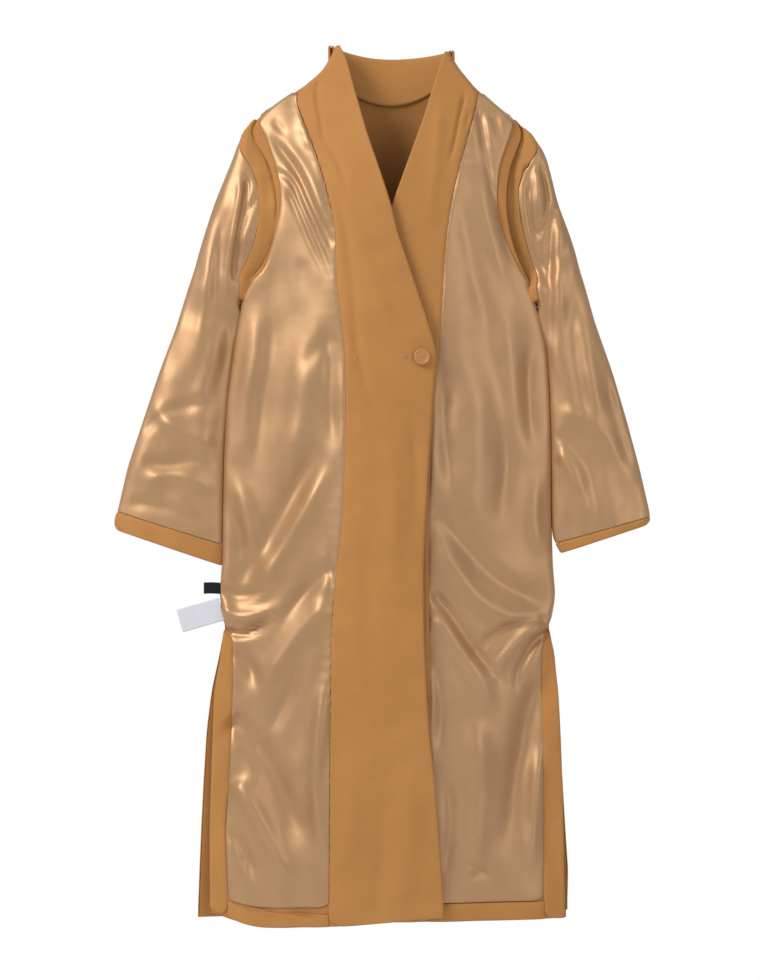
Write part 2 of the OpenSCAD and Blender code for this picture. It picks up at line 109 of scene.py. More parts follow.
def add_studio():
    """Soft light from above left, a weaker one from the right, and an even pale surround."""
    add_lamp("key", (-2.3, -1.9, 1.5), (1.2, 1.5), 74)
    add_lamp("fill", (2.2, -2.6, 0.2), (1.4, 2.2), 16)
    add_lamp("back", (0.6, 2.6, 0.9), (2.2, 2.2), 26)
    world = bpy.data.worlds.new("studio")
    world.use_nodes = True
    tree = world.node_tree
    tree.nodes.clear()
    seen = tree.nodes.new("ShaderNodeBackground")
    seen.inputs["Color"].default_value = (1, 1, 1, 1)
    seen.inputs["Strength"].default_value = 1.0
    given = tree.nodes.new("ShaderNodeBackground")
    given.inputs["Color"].default_value = (0.96, 0.98, 1, 1)
    given.inputs["Strength"].default_value = 0.5
    path = tree.nodes.new("ShaderNodeLightPath")
    mix = tree.nodes.new("ShaderNodeMixShader")
    out = tree.nodes.new("ShaderNodeOutputWorld")
    tree.links.new(path.outputs["Is Camera Ray"], mix.inputs["Fac"])
    tree.links.new(given.outputs[0], mix.inputs[1])
    tree.links.new(seen.outputs[0], mix.inputs[2])
    tree.links.new(mix.outputs[0], out.inputs["Surface"])
    bpy.context.scene.world = world
    bpy.context.scene.view_settings.view_transform = "Standard"


# ---------------------------------------------------------------- reading the CAD
LEVEL = 0.004  # height between the slices that a panel's depth is read at
ACROSS = 0.004  # width between the places in a slice
FAR = 9  # a height past either end of the coat


def triangles(nodes):
    found = []
    for name in nodes:
        mesh = frame["nodes"][name].data
        mesh.calc_loop_triangles()
        points = np.array([v.co for v in mesh.vertices], float)
        found.append(points[np.array([t.vertices[:] for t in mesh.loop_triangles])])
    return np.concatenate(found)


def smooth(values, reach, axis=0):
    """values blurred along one axis by a bell of that many places, with its ends held."""
    if reach < 0.5:
        return values
    n = int(3 * reach)
    bell = np.exp(-0.5 * (np.arange(-n, n + 1) / reach) ** 2)
    bell /= bell.sum()
    values = np.moveaxis(np.asarray(values, float), axis, 0)
    first, last = values[:1], values[-1:]
    before, after = 2 * first - values[1 : n + 1][::-1], 2 * last - values[-n - 1 : -1][::-1]
    padded = np.concatenate([before, values, after])
    if len(padded) < len(values) + 2 * n:
        return np.moveaxis(values, 0, axis)
    out = sum(w * padded[i : i + len(values)] for i, w in enumerate(bell))
    return np.moveaxis(out, 0, axis)


class Surface:
    """The outward side of some CAD nodes: how deep it is at (x, z), and its two edges at each height."""

    def __init__(self, nodes, side):
        t = triangles(nodes)
        normal = np.cross(t[:, 1] - t[:, 0], t[:, 2] - t[:, 0])
        t = t[normal[:, 1] * side > 0.05 * np.linalg.norm(normal, axis=1)]
        self.side = side
        low, high = t[..., 2].min() + 1e-4, t[..., 2].max() - 1e-4
        self.z = np.arange(high, low, -LEVEL)
        self.x = np.arange(t[..., 0].min(), t[..., 0].max() + ACROSS, ACROSS)
        self.depth = np.full((len(self.z), len(self.x)), np.nan)
        self.left, self.right = np.full((2, len(self.z)), np.nan)
        a = t[:, [0, 1, 2]].reshape(-1, 3)
        b = t[:, [1, 2, 0]].reshape(-1, 3)
        for i, z in enumerate(self.z):
            cut = (a[:, 2] - z) * (b[:, 2] - z) < 0
            if cut.sum() < 2:
                continue
            p, q = a[cut], b[cut]
            at = p + (q - p) * ((z - p[:, 2]) / (q[:, 2] - p[:, 2]))[:, None]
            at = at[np.argsort(at[:, 0])]
            self.left[i], self.right[i] = at[0, 0], at[-1, 0]
            inside = (self.x >= at[0, 0] - ACROSS) & (self.x <= at[-1, 0] + ACROSS)
            self.depth[i, inside] = np.interp(self.x[inside], at[:, 0], at[:, 1])
        known = np.flatnonzero(~np.isnan(self.depth).all(axis=0))
        for j in known:
            column = self.depth[:, j]
            good = ~np.isnan(column)
            column[~good] = np.interp(-self.z[~good], -self.z[good], column[good])
        nearest = np.abs(np.arange(len(self.x))[:, None] - known[None, :]).argmin(axis=1)
        self.depth = self.depth[:, known[nearest]]
        self.depth = smooth(smooth(self.depth, 3.5), 2, axis=1)

    def edges(self, z, top=None, bottom=None, reach=2.0):
        """The x of the left and right edges at heights z, held past the heights given."""
        good = ~np.isnan(self.left)
        good &= (self.z > (-FAR if bottom is None else bottom)) & (self.z < (FAR if top is None else top))
        return [np.interp(-z, -self.z[good], smooth(e[good], reach)) for e in (self.left, self.right)]

    def at(self, x, z):
        i = np.clip((self.z[0] - z) / LEVEL, 0, len(self.z) - 1.001)
        j = np.clip((x - self.x[0]) / ACROSS, 0, len(self.x) - 1.001)
        r, c = i.astype(int), j.astype(int)
        u, v = i - r, j - c
        d = self.depth
        above = (1 - v) * d[r, c] + v * d[r, c + 1]
        below = (1 - v) * d[r + 1, c] + v * d[r + 1, c + 1]
        return (1 - u) * above + u * below


# ---------------------------------------------------------------- folds
def ease(t):
    t = np.clip(t, 0, 1)
    return t * t * (3 - 2 * t)


def curve(points_mm, n=28):
    """A smooth line through a few (x, z) points."""
    p = np.array(points_mm, float) * MM
    p = np.concatenate([[2 * p[0] - p[1]], p, [2 * p[-1] - p[-2]]])
    out = []
    for s in np.linspace(0, len(p) - 3 - 1e-6, n):
        i, t = int(s), s - int(s)
        a, b, c, d = p[i : i + 4]
        slope, bend, twist = c - a, 2 * a - 5 * b + 4 * c - d, 3 * b - a - 3 * c + d
        out.append(0.5 * (2 * b + slope * t + bend * t**2 + twist * t**3))
    return np.array(out)


def fold(x, z, path, width_mm, height_mm, fade_in, fade_out):
    """A ridge, or a valley where height is negative, along a line. It fades over a share of each end."""
    line = curve(path)
    nearest, along = np.full(x.shape, 1e9), np.zeros(x.shape)
    n = len(line) - 1
    for k in range(n):
        (ax, az), (bx, bz) = line[k], line[k + 1]
        dx, dz = bx - ax, bz - az
        t = np.clip(((x - ax) * dx + (z - az) * dz) / (dx * dx + dz * dz + 1e-12), 0, 1)
        far = np.hypot(x - ax - t * dx, z - az - t * dz)
        along = np.where(far < nearest, (k + t) / n, along)
        nearest = np.minimum(nearest, far)
    shape = np.exp(-((nearest / (width_mm * MM)) ** 2))
    return height_mm * MM * shape * ease(along / fade_in) * ease((1 - along) / fade_out)


def drape(x, z, seed, width_mm, height_mm, long_mm=420, count=5):
    """Broad soft folds that hang down the cloth and wander a little."""
    r = np.random.default_rng(seed)
    out = np.zeros(x.shape)
    for k in range(count):
        wave = width_mm * MM * r.uniform(0.7, 1.6)
        down = z / (long_mm * MM) * math.tau
        wander = 0.5 * width_mm * MM * np.sin(down * r.uniform(0.5, 1) + r.uniform(0, 9))
        strength = 0.5 + 0.5 * np.sin(down * r.uniform(0.4, 1.1) + r.uniform(0, 9))
        out += strength * np.sin((x + wander) / wave * math.tau + r.uniform(0, 9))
    return out * height_mm * MM / math.sqrt(count)


def crumple(x, z, seed, size_mm, height_mm, count=14):
    """Small shallow creases at every angle."""
    r = np.random.default_rng(seed)
    out = np.zeros(x.shape)
    for _ in range(count):
        a = r.uniform(0, math.pi)
        u = (x * math.cos(a) + z * math.sin(a)) / (size_mm * MM * r.uniform(0.7, 2.2)) * math.tau
        v = (-x * math.sin(a) + z * math.cos(a)) / (size_mm * MM * r.uniform(2, 4)) * math.tau
        out += np.sin(u + 1.3 * np.sin(v + r.uniform(0, 9)) + r.uniform(0, 9))
    return out * height_mm * MM / math.sqrt(count)


def deeper(z):
    """How much stronger the folds are towards the hem than at the chest."""
    return 1.05 + 1.0 * ease((-0.26 - z) / 0.3)


def add_folds(x, z, folds, strength=1.0):
    """All the folds of one table together."""
    out = np.zeros(x.shape)
    for row in folds:
        out += fold(x, z, *row)
    return out * strength


# ---------------------------------------------------------------- making pieces
def grid_mesh(name, grid, closed=False):
    rows, cols = grid.shape[:2]
    index = np.arange(rows * cols).reshape(rows, cols)
    right = np.roll(index, -1, 1) if closed else index[:, 1:]
    here = index if closed else index[:, :-1]
    faces = np.stack([here[:-1], here[1:], right[1:], right[:-1]], -1).reshape(-1, 4)
    mesh = bpy.data.meshes.new(name)
    mesh.from_pydata(grid.reshape(-1, 3).tolist(), [], faces.tolist())
    mesh.polygons.foreach_set("use_smooth", [True] * len(faces))
    piece = bpy.data.objects.new(name, mesh)
    bpy.context.scene.collection.objects.link(piece)
    return piece


def apply_modifiers(piece):
    graph = bpy.context.evaluated_depsgraph_get()
    mesh = bpy.data.meshes.new_from_object(piece.evaluated_get(graph))
    piece.modifiers.clear()
    piece.data = mesh
    mesh.polygons.foreach_set("use_smooth", [True] * len(mesh.polygons))


def thicken(piece, thick_mm):
    """Gives the cloth its thickness inwards from the surface that was laid out."""
    solid = piece.modifiers.new("thickness", "SOLIDIFY")
    solid.thickness = thick_mm * MM
    solid.offset = -1
    apply_modifiers(piece)
    return piece


def joined(name, pieces):
    """One piece made of several."""
    points, faces = [], []
    for p in pieces:
        first = len(points)
        points += [v.co[:] for v in p.data.vertices]
        faces += [[first + i for i in f.vertices] for f in p.data.polygons]
        bpy.data.objects.remove(p)
    mesh = bpy.data.meshes.new(name)
    mesh.from_pydata(points, [], faces)
    mesh.polygons.foreach_set("use_smooth", [True] * len(faces))
    piece = bpy.data.objects.new(name, mesh)
    bpy.context.scene.collection.objects.link(piece)
    return piece


def tube(name, points_mm, radius_mm, sides, flat=1.0):
    """A round or flattened strand along a line of points."""
    p = np.array(points_mm, float) * MM
    run = np.gradient(p, axis=0)
    run /= np.linalg.norm(run, axis=1)[:, None] + 1e-12
    across = np.cross(run, [0, 1, 0])
    weak = np.linalg.norm(across, axis=1) < 0.05
    across[weak] = np.cross(run[weak], [0, 0, 1])
    across /= np.linalg.norm(across, axis=1)[:, None]
    depth = np.cross(across, run)
    a = np.linspace(0, math.tau, sides, endpoint=False)
    taper = np.ones(len(p))
    taper[0] = taper[-1] = 0.35
    ring = radius_mm * MM * taper[:, None, None]
    wide, deep = np.cos(a)[None, :, None], flat * np.sin(a)[None, :, None]
    grid = p[:, None] + ring * (wide * across[:, None] + deep * depth[:, None])
    piece = grid_mesh(name, grid, closed=True)
    mesh = piece.data
    faces = [list(f.vertices) for f in mesh.polygons]
    points = [v.co[:] for v in mesh.vertices]
    last = len(p) - 1
    faces += [list(range(sides)), [last * sides + i for i in reversed(range(sides))]]
    mesh.clear_geometry()
    mesh.from_pydata(points, [], faces)
    mesh.polygons.foreach_set("use_smooth", [True] * len(faces))
    mesh.validate()
    fix_normals(piece)
    return piece


def fix_normals(piece):
    b = bmesh.new()
    b.from_mesh(piece.data)
    bmesh.ops.recalc_face_normals(b, faces=b.faces)
    b.to_mesh(piece.data)
    b.free()


# ---------------------------------------------------------------- panels of cloth
ROW_MM = 5.0
EDGE_MM = np.array([0, 0.7, 1.6, 3.0, 5.0, 8.0])
ROLL = 0.009  # how far a side seam's roundness reaches in
TURN = 0.003  # how far a turned edge's roundness reaches in
TURN_DROP = 0.0026
SEAM_DIP = 0.0012
SEAM_REACH = 0.0022
HEM_START = -1.0
NECK_END = -0.048
FOOT_RISE = 0.011


def rim(nodes, highest=False):
    """The lowest or highest z of some nodes at each x, as (x, z)."""
    t = triangles(nodes)
    xs = np.arange(t[..., 0].min() + 1e-4, t[..., 0].max() - 1e-4, ACROSS)
    a, b = t[:, [0, 1, 2]].reshape(-1, 3), t[:, [1, 2, 0]].reshape(-1, 3)
    zs = []
    for x in xs:
        cut = (a[:, 0] - x) * (b[:, 0] - x) < 0
        p, q = a[cut], b[cut]
        z = p[:, 2] + (q[:, 2] - p[:, 2]) * (x - p[:, 0]) / (q[:, 0] - p[:, 0])
        zs.append(z.max() if highest else z.min())
    return xs, np.array(zs)


def within(z, spans, soft=0.003):
    """1 where z is inside one of the spans (low, high), 0 elsewhere."""
    out = np.zeros(np.shape(z))
    for low, high in spans:
        out = np.maximum(out, np.clip((z - low) / soft + 0.5, 0, 1) * np.clip((high - z) / soft + 0.5, 0, 1))
    return out


def shaped(y, side, d, z, edge):
    """y with its edge rolled round to the middle, turned in, or dipped into a seam."""
    roll, turn, seam = (within(z, edge.get(k, [])) for k in ("roll", "turn", "seam"))
    q = np.clip(1 - d / ROLL, 0, 1)
    y = y * (1 - roll * (1 - np.sqrt(1 - q * q)))
    q = np.clip(1 - d / TURN, 0, 1)
    y = y - side * turn * TURN_DROP * (1 - np.sqrt(1 - q * q))
    return y - side * seam * SEAM_DIP * np.exp(-((d / SEAM_REACH) ** 2))


def puckers(d, z, seed, wave_mm, height_mm, reach_mm):
    """Small gathers that run in from a seam."""
    r = np.random.default_rng(seed)
    long = z / (wave_mm * MM)
    phase = sum(r.uniform(0.6, 1.6) * np.sin(long / k + r.uniform(0, 9)) for k in (1.3, 2.9, 5.1))
    strength = 0.55 + 0.45 * np.sin(z / (wave_mm * MM * 7) + r.uniform(0, 9))
    ripple = np.sin(z / (wave_mm * MM) * math.tau + 1.6 * phase)
    return height_mm * MM * strength * ripple * np.exp(-d / (reach_mm * MM))


ALL = [(-FAR, FAR)]


def panel(name, nodes, side, relief, left, right, step_mm=6.0, bottom=None, head=False, low="turn",
          thick_mm=1.2, grow_mm=(0.5, 0.5), gather=None, between=None, span=None):
    """A panel over the CAD nodes named. side is -1 for the front and 1 for the back.

    left, right and low say what each side edge and the lowest edge does. bottom makes the hem follow the
    nodes' own lowest line, and "band" makes the top line follow them too; head does so above the neck.
    gather has the puckers at the two side edges. between gives the nodes whose edges bound the panel
    instead of its own, as (nodes, 0 for left or 1 for right), and span its top and lowest heights.
    """
    surface = Surface(nodes, side)
    top_z, low_z = span or (surface.z[0], surface.z[-1])
    foot_x, foot_z = rim(nodes)
    foot_z = np.minimum(foot_z, np.median(foot_z) + FOOT_RISE)
    z0 = np.linspace(top_z, low_z, max(4, int((top_z - low_z) / (ROW_MM * MM)) + 1))
    if low != "open":
        near = low_z + np.array([4.5, 3.0, 1.6, 0.7]) * MM
        z0 = np.concatenate([z0[z0 > near[0] + 0.002], near, [low_z]])
    xl, xr = surface.edges(z0, top=NECK_END - 0.002 if head else None,
                           bottom=np.median(foot_z) + FOOT_RISE if bottom else None)
    if between:
        xl, xr = (Surface(names, side).edges(z0)[which] for names, which in between)
    xl, xr = xl - grow_mm[0] * MM, xr + grow_mm[1] * MM
    wide = np.maximum(xr - xl, 0.0012)
    scale = np.minimum(1, wide / (2.6 * EDGE_MM[-1] * MM))[:, None]
    near = EDGE_MM[None, :] * MM * scale
    count = max(2, int(np.max(wide) / (step_mm * MM)))
    t = np.linspace(0, 1, count + 2)[1:-1][None, :]
    inner_l, inner_r = xl[:, None] + near[:, -1:], xl[:, None] + wide[:, None] - near[:, -1:]
    middle = inner_l + t * (inner_r - inner_l)
    x = np.concatenate([xl[:, None] + near, middle, (xl + wide)[:, None] - near[:, ::-1]], 1)
    z = np.repeat(z0[:, None], x.shape[1], 1)
    if head:
        head_x, head_z = rim(nodes, highest=True)
        top = np.interp(x, head_x, smooth(head_z, 1.5))
        share = np.clip((z - NECK_END) / (top_z - NECK_END), 0, 1)
        z = np.where(z > NECK_END, NECK_END + share * (top - NECK_END), z)
    foot = np.interp(x, foot_x, smooth(foot_z, 2))
    if bottom == "band":
        top_x, top_line = rim(nodes, highest=True)
        top_line = np.maximum(top_line, np.median(top_line) - FOOT_RISE)
        top = np.interp(x, top_x, smooth(top_line, 2))
        z = top + (foot - top) * ((top_z - z) / (top_z - low_z))
    elif bottom:
        z = z + (foot - low_z) * ease((HEM_START - z) / (HEM_START - low_z))
    dl, dr = x - xl[:, None], (xl + wide)[:, None] - x
    y = surface.at(x, z) + side * relief(x, z)
    if gather:
        for d, g in zip((dl, dr), gather):
            if g:
                y = y + side * puckers(d, z, *g)
    y = shaped(y, side, dl, z, left)
    y = shaped(y, side, dr, z, right)
    if low == "turn":
        y = shaped(y, side, z - z[-1:], z, {"turn": ALL})
    if low == "seam":
        y = shaped(y, side, z - z[-1:], z, {"seam": ALL})
    grid = np.stack([x, y, z], -1)
    if side > 0:
        grid = grid[:, ::-1]
    return thicken(grid_mesh(name, grid), thick_mm)


# ---------------------------------------------------------------- the folds of each part of the coat
# Each is [line of (x, z) in mm, half width in mm, height in mm, share that fades in, share that fades out].
# A height below nought is a valley.
LEFT_BODY = [
    [[(-156, -56), (-125, -97), (-111, -123), (-94, -163), (-74, -204), (-66, -216)], 6.5, -4.2, 0.1, 0.3],
    [[(-148, -52), (-116, -92), (-99, -123), (-83, -160), (-66, -196)], 9, 3.6, 0.2, 0.3],
    [[(-147, -107), (-127, -120), (-112, -155), (-91, -201), (-74, -244), (-65, -264)], 4.5, -3.6, 0.05, 0.4],
    [[(-140, -100), (-119, -122), (-103, -158), (-84, -202), (-68, -240)], 4.5, 3.0, 0.1, 0.4],
    [[(-138, -118), (-122, -140), (-108, -176), (-92, -214), (-76, -250)], 4.0, 2.4, 0.15, 0.5],
    [[(-134, -130), (-116, -168), (-102, -202), (-84, -242), (-67, -273)], 4.0, -2.8, 0.1, 0.4],
    [[(-112, -222), (-111, -250), (-108, -290)], 11, -2.2, 0.4, 0.5],
    [[(-153, -34), (-131, -60)], 6, -2.2, 0.3, 0.4],
    [[(-118, -30), (-104, -58), (-98, -84)], 9, 2.4, 0.4, 0.4],
    [[(-186, -270), (-176, -330), (-186, -400), (-196, -470)], 13, 3.6, 0.4, 0.4],
    [[(-160, -250), (-152, -330), (-166, -420), (-176, -520)], 12, -3.4, 0.4, 0.3],
    [[(-126, -290), (-112, -370), (-116, -450), (-136, -540)], 20, 5.0, 0.4, 0.3],
    [[(-84, -300), (-74, -360), (-72, -430), (-64, -500)], 9, -3.4, 0.3, 0.3],
    [[(-66, -330), (-92, -352), (-122, -392)], 10, -2.4, 0.1, 0.5],
    [[(-70, -452), (-96, -500), (-134, -566), (-172, -632), (-212, -690)], 15, -5.0, 0.3, 0.25],
    [[(-74, -500), (-104, -560), (-146, -634), (-186, -700)], 13, 4.6, 0.3, 0.3],
    [[(-212, -500), (-190, -560), (-176, -612), (-150, -668)], 14, 4.0, 0.3, 0.4],
    [[(-208, -560), (-196, -606), (-202, -652)], 8, -2.6, 0.4, 0.4],
    [[(-224, -672), (-200, -684), (-170, -676), (-146, -656)], 7, -3.6, 0.1, 0.5],
    [[(-224, -700), (-196, -712), (-164, -706), (-134, -688)], 8, 4.6, 0.1, 0.5],
    [[(-224, -727), (-196, -736), (-168, -726), (-140, -704)], 4.5, -5.0, 0.05, 0.5],
    [[(-68, -640), (-92, -664), (-128, -704), (-150, -748)], 9, -3.4, 0.1, 0.5],
    [[(-70, -690), (-104, -720), (-148, -780), (-190, -850)], 13, 4.4, 0.2, 0.4],
    [[(-206, -752), (-182, -782), (-166, -822)], 9, -3.0, 0.2, 0.5],
    [[(-100, -740), (-120, -800), (-152, -860), (-190, -904)], 9, -3.0, 0.4, 0.4],
    [[(-212, -846), (-176, -884), (-138, -950), (-98, -1052)], 19, -6.4, 0.1, 0.25],
    [[(-78, -780), (-88, -860), (-92, -950), (-84, -1050)], 10, 4.6, 0.3, 0.3],
    [[(-206, -934), (-178, -972), (-146, -1030), (-120, -1088)], 13, 5.2, 0.1, 0.3],
    [[(-208, -1000), (-190, -1030), (-176, -1080)], 8, -3.0, 0.2, 0.4],
    [[(-72, -596), (-70, -650), (-76, -710)], 5, -2.0, 0.4, 0.4],
]
LEFT_CLOTH = [
    [[(-93.5, 18), (-90, -16), (-85, -46), (-82, -80)], 2.6, -2.4, 0.1, 0.4],
    [[(-84, -57), (-62, -98), (-47, -145)], 5, -1.8, 0.2, 0.5],
    [[(-70, -120), (-52, -190), (-40, -280), (-36, -360), (-22, -440)], 7, -1.9, 0.3, 0.4],
    [[(-40, -330), (-34, -350), (-24, -400), (-14, -452)], 5, -1.7, 0.2, 0.5],
    [[(-30, -200), (-8, -280), (16, -340)], 12, 1.6, 0.4, 0.4],
    [[(8, -420), (14, -520), (12, -640), (18, -760)], 14, 2.0, 0.4, 0.4],
    [[(-20, -560), (-22, -690), (-10, -840)], 14, -1.6, 0.4, 0.4],
    [[(34, -420), (44, -520), (38, -620)], 8, -1.4, 0.3, 0.4],
    [[(-50, -880), (-44, -960), (-52, -1060)], 14, 2.2, 0.4, 0.2],
    [[(30, -900), (34, -990), (26, -1100)], 16, 2.0, 0.4, 0.1],
    [[(-8, -960), (-4, -1040), (-12, -1120)], 11, -1.8, 0.4, 0.1],
]
RIGHT_CLOTH = [
    [[(111, 4), (101, -40), (95, -70), (86, -104)], 2.6, -2.8, 0.1, 0.3],
    [[(116, -24), (110, -54)], 3, -1.4, 0.3, 0.4],
    [[(76, 10), (74, -50), (66, -120), (56, -200)], 9, 1.8, 0.3, 0.4],
    [[(62, -280), (68, -320), (66, -372)], 4, -1.6, 0.3, 0.4],
]
RIGHT_BODY = [
    [[(127, -18), (136, -63), (142, -104)], 5.5, -3.2, 0.15, 0.5],
    [[(118, -14), (124, -60), (128, -110)], 8, 2.8, 0.2, 0.5],
    [[(149, -22), (161, -80)], 6, -2.6, 0.2, 0.5],
    [[(139, -30), (149, -84)], 6, 2.2, 0.2, 0.5],
    [[(136, -78), (145, -119), (154, -157), (168, -213), (190, -256)], 5, -3.4, 0.2, 0.3],
    [[(124, -86), (132, -130), (142, -180), (158, -236), (184, -300)], 9, 3.6, 0.3, 0.4],
    [[(104, -120), (112, -190), (128, -270), (150, -350)], 12, -3.2, 0.3, 0.4],
    [[(150, -264), (166, -330), (176, -400), (182, -480)], 14, 3.2, 0.4, 0.4],
    [[(200, -330), (196, -410), (206, -500)], 9, -3.2, 0.3, 0.4],
    [[(130, -330), (132, -420), (122, -520), (128, -620)], 22, 5.0, 0.4, 0.4],
    [[(86, -380), (84, -460), (92, -560)], 10, -3.2, 0.3, 0.4],
    [[(164, -420), (166, -510), (156, -600)], 12, -3.2, 0.4, 0.4],
    [[(212, -500), (206, -580), (216, -640)], 11, 3.2, 0.4, 0.4],
    [[(68, -600), (92, -640), (132, -690), (186, -716), (228, -722)], 13, 4.6, 0.3, 0.15],
    [[(66, -560), (104, -610), (152, -660), (228, -700)], 12, -3.8, 0.3, 0.15],
    [[(226, -729), (204, -748), (184, -784), (176, -830)], 5.5, -4.2, 0.05, 0.5],
    [[(220, -724), (190, -738), (158, -774), (140, -812)], 7, 3.6, 0.1, 0.5],
    [[(224, -716), (182, -722), (140, -744), (108, -784)], 6, -3.6, 0.05, 0.5],
    [[(62, -672), (88, -704), (124, -758), (172, -814)], 8, -4.2, 0.15, 0.3],
    [[(64, -700), (92, -740), (132, -800), (150, -860)], 11, 4.0, 0.2, 0.4],
    [[(68, -760), (78, -830), (76, -900)], 8, -3.0, 0.3, 0.4],
    [[(218, -780), (196, -850), (178, -950), (166, -1050)], 17, -5.6, 0.2, 0.25],
    [[(212, -880), (206, -960), (200, -1060)], 9, 4.2, 0.3, 0.2],
    [[(120, -830), (130, -900), (128, -990), (112, -1080)], 17, 4.8, 0.3, 0.3],
    [[(84, -900), (92, -980), (84, -1070)], 9, -3.0, 0.4, 0.3],
    [[(104, -1040), (128, -1052), (154, -1066)], 4, -1.8, 0.3, 0.4],
    [[(112, -1064), (132, -1058), (150, -1042)], 4, -1.6, 0.3, 0.4],
]
BACK_BODY = [
    [[(-150, -90), (-110, -190), (-70, -300)], 12, -3.0, 0.2, 0.4],
    [[(158, -90), (118, -190), (80, -310)], 12, -3.0, 0.2, 0.4],
    [[(-120, -110), (-96, -260), (-110, -440)], 16, 3.4, 0.3, 0.4],
    [[(128, -110), (104, -280), (112, -460)], 16, 3.4, 0.3, 0.4],
    [[(0, -90), (-10, -300), (6, -520)], 24, 3.4, 0.2, 0.4],
    [[(-200, -520), (-120, -620), (-60, -730)], 16, -3.6, 0.2, 0.4],
    [[(206, -500), (120, -620), (70, -720)], 16, 3.6, 0.2, 0.4],
    [[(-214, -722), (-150, -760), (-90, -840)], 11, -4.0, 0.1, 0.5],
    [[(216, -722), (150, -764), (96, -850)], 11, -4.0, 0.1, 0.5],
    [[(-60, -820), (-80, -950), (-60, -1090)], 20, 4.0, 0.3, 0.2],
    [[(60, -800), (90, -940), (76, -1090)], 20, 4.0, 0.3, 0.2],
    [[(160, -860), (170, -980), (150, -1090)], 14, -3.6, 0.3, 0.2],
    [[(-160, -860), (-150, -980), (-170, -1090)], 14, 3.6, 0.3, 0.2],
]


def left_cloth(x, z):
    return add_folds(x, z, LEFT_CLOTH, 1.5) + drape(x, z, 21, 62, 0.8, 700) + crumple(x, z, 22, 60, 0.45)


def left_body(x, z):
    return add_folds(x, z, LEFT_BODY, deeper(z)) + drape(x, z, 11, 62, 2.0, 420) + crumple(x, z, 12, 70, 1.1)


def right_cloth(x, z):
    return ease((x - 0.045) / 0.03) * (add_folds(x, z, RIGHT_CLOTH, 1.4) + crumple(x, z, 32, 60, 0.4))


def right_body(x, z):
    return add_folds(x, z, RIGHT_BODY, deeper(z)) + drape(x, z, 41, 62, 2.0, 420) + crumple(x, z, 42, 70, 1.1)


def back_body(x, z):
    return add_folds(x, z, BACK_BODY) + drape(x, z, 51, 80, 1.4, 520) + crumple(x, z, 52, 80, 0.7)


class Relief:
    """The folds of one side: the lining's, fading to the stiffer cloth's across the facing seam."""

    def __init__(self, cloth, body, seam_nodes, edge):
        self.cloth, self.body = cloth, body
        surface = Surface(seam_nodes, -1)
        z = np.arange(0.07, -1.13, -0.01)
        self.z, self.seam = z, surface.edges(z)[edge]
        self.way = 1 if edge else -1

    def __call__(self, x, z):
        past = (x - np.interp(-z, -self.z, self.seam)) * self.way
        share = ease((past + 0.006) / 0.012)
        return (1 - share) * self.cloth(x, z) + share * self.body(x, z)


LEFT_FACING = ["front_left_facing", "skirt_left_facing"]
RIGHT_FACING = ["front_right_facing", "skirt_right_facing"]
left_relief = Relief(left_cloth, left_body, LEFT_FACING, 0)
right_relief = Relief(right_cloth, right_body, RIGHT_FACING, 1)


# ---------------------------------------------------------------- materials
def new_group(name, inputs, outputs):
    """A shader node group with value inputs (name, default) and value or colour outputs."""
    tree = bpy.data.node_groups.new(name, "ShaderNodeTree")
    for label, value in inputs:
        tree.interface.new_socket(label, in_out="INPUT", socket_type="NodeSocketFloat").default_value = value
    for label in outputs:
        tree.interface.new_socket(label, in_out="OUTPUT", socket_type="NodeSocketFloat")
    return tree, tree.nodes.new("NodeGroupInput"), tree.nodes.new("NodeGroupOutput")


def math_node(tree, operation, a, b=None):
    node = tree.nodes.new("ShaderNodeMath")
    node.operation = operation
    for socket, value in zip(node.inputs, (a, b)):
        if value is None:
            continue
        if isinstance(value, (int, float)):
            socket.default_value = value
        else:
            tree.links.new(value, socket)
    return node.outputs[0]


def noise(tree, where, scale, detail=3.0, rough=0.55):
    node = tree.nodes.new("ShaderNodeTexNoise")
    node.inputs["Scale"].default_value = scale
    node.inputs["Detail"].default_value = detail
    node.inputs["Roughness"].default_value = rough
    tree.links.new(where, node.inputs["Vector"])
    return node.outputs["Fac"]


def make_weave():
    """Threads that cross: how high the cloth stands, and a tone that follows single threads."""
    tree, given, out = new_group("weave", [("Threads", 1200.0), ("Slub", 0.4)], ["Height", "Tone"])
    where = tree.nodes.new("ShaderNodeTexCoord").outputs["Object"]
    parts = tree.nodes.new("ShaderNodeSeparateXYZ")
    tree.links.new(where, parts.inputs[0])
    waves = []
    for axis in ("X", "Z"):
        turn = math_node(tree, "MULTIPLY", parts.outputs[axis], given.outputs["Threads"])
        waves.append(math_node(tree, "SINE", turn))
    crossed = math_node(tree, "MULTIPLY", waves[0], waves[1])
    slub = math_node(tree, "MULTIPLY", noise(tree, where, 260, 2), given.outputs["Slub"])
    tree.links.new(math_node(tree, "ADD", crossed, slub), out.inputs["Height"])
    tree.links.new(math_node(tree, "ADD", noise(tree, where, 900, 1), slub), out.inputs["Tone"])
    return tree


def make_tone():
    """Slow change of shade over the cloth, from 0 to 1, and a finer mottle."""
    tree, given, out = new_group("tone", [("Broad", 6.0), ("Fine", 55.0)], ["Broad", "Fine"])
    where = tree.nodes.new("ShaderNodeTexCoord").outputs["Object"]
    for label in ("Broad", "Fine"):
        node = tree.nodes.new("ShaderNodeTexNoise")
        node.inputs["Detail"].default_value = 3
        tree.links.new(where, node.inputs["Vector"])
        tree.links.new(given.outputs[label], node.inputs["Scale"])
        tree.links.new(node.outputs["Fac"], out.inputs[label])
    return tree


WEAVE, TONE = make_weave(), make_tone()


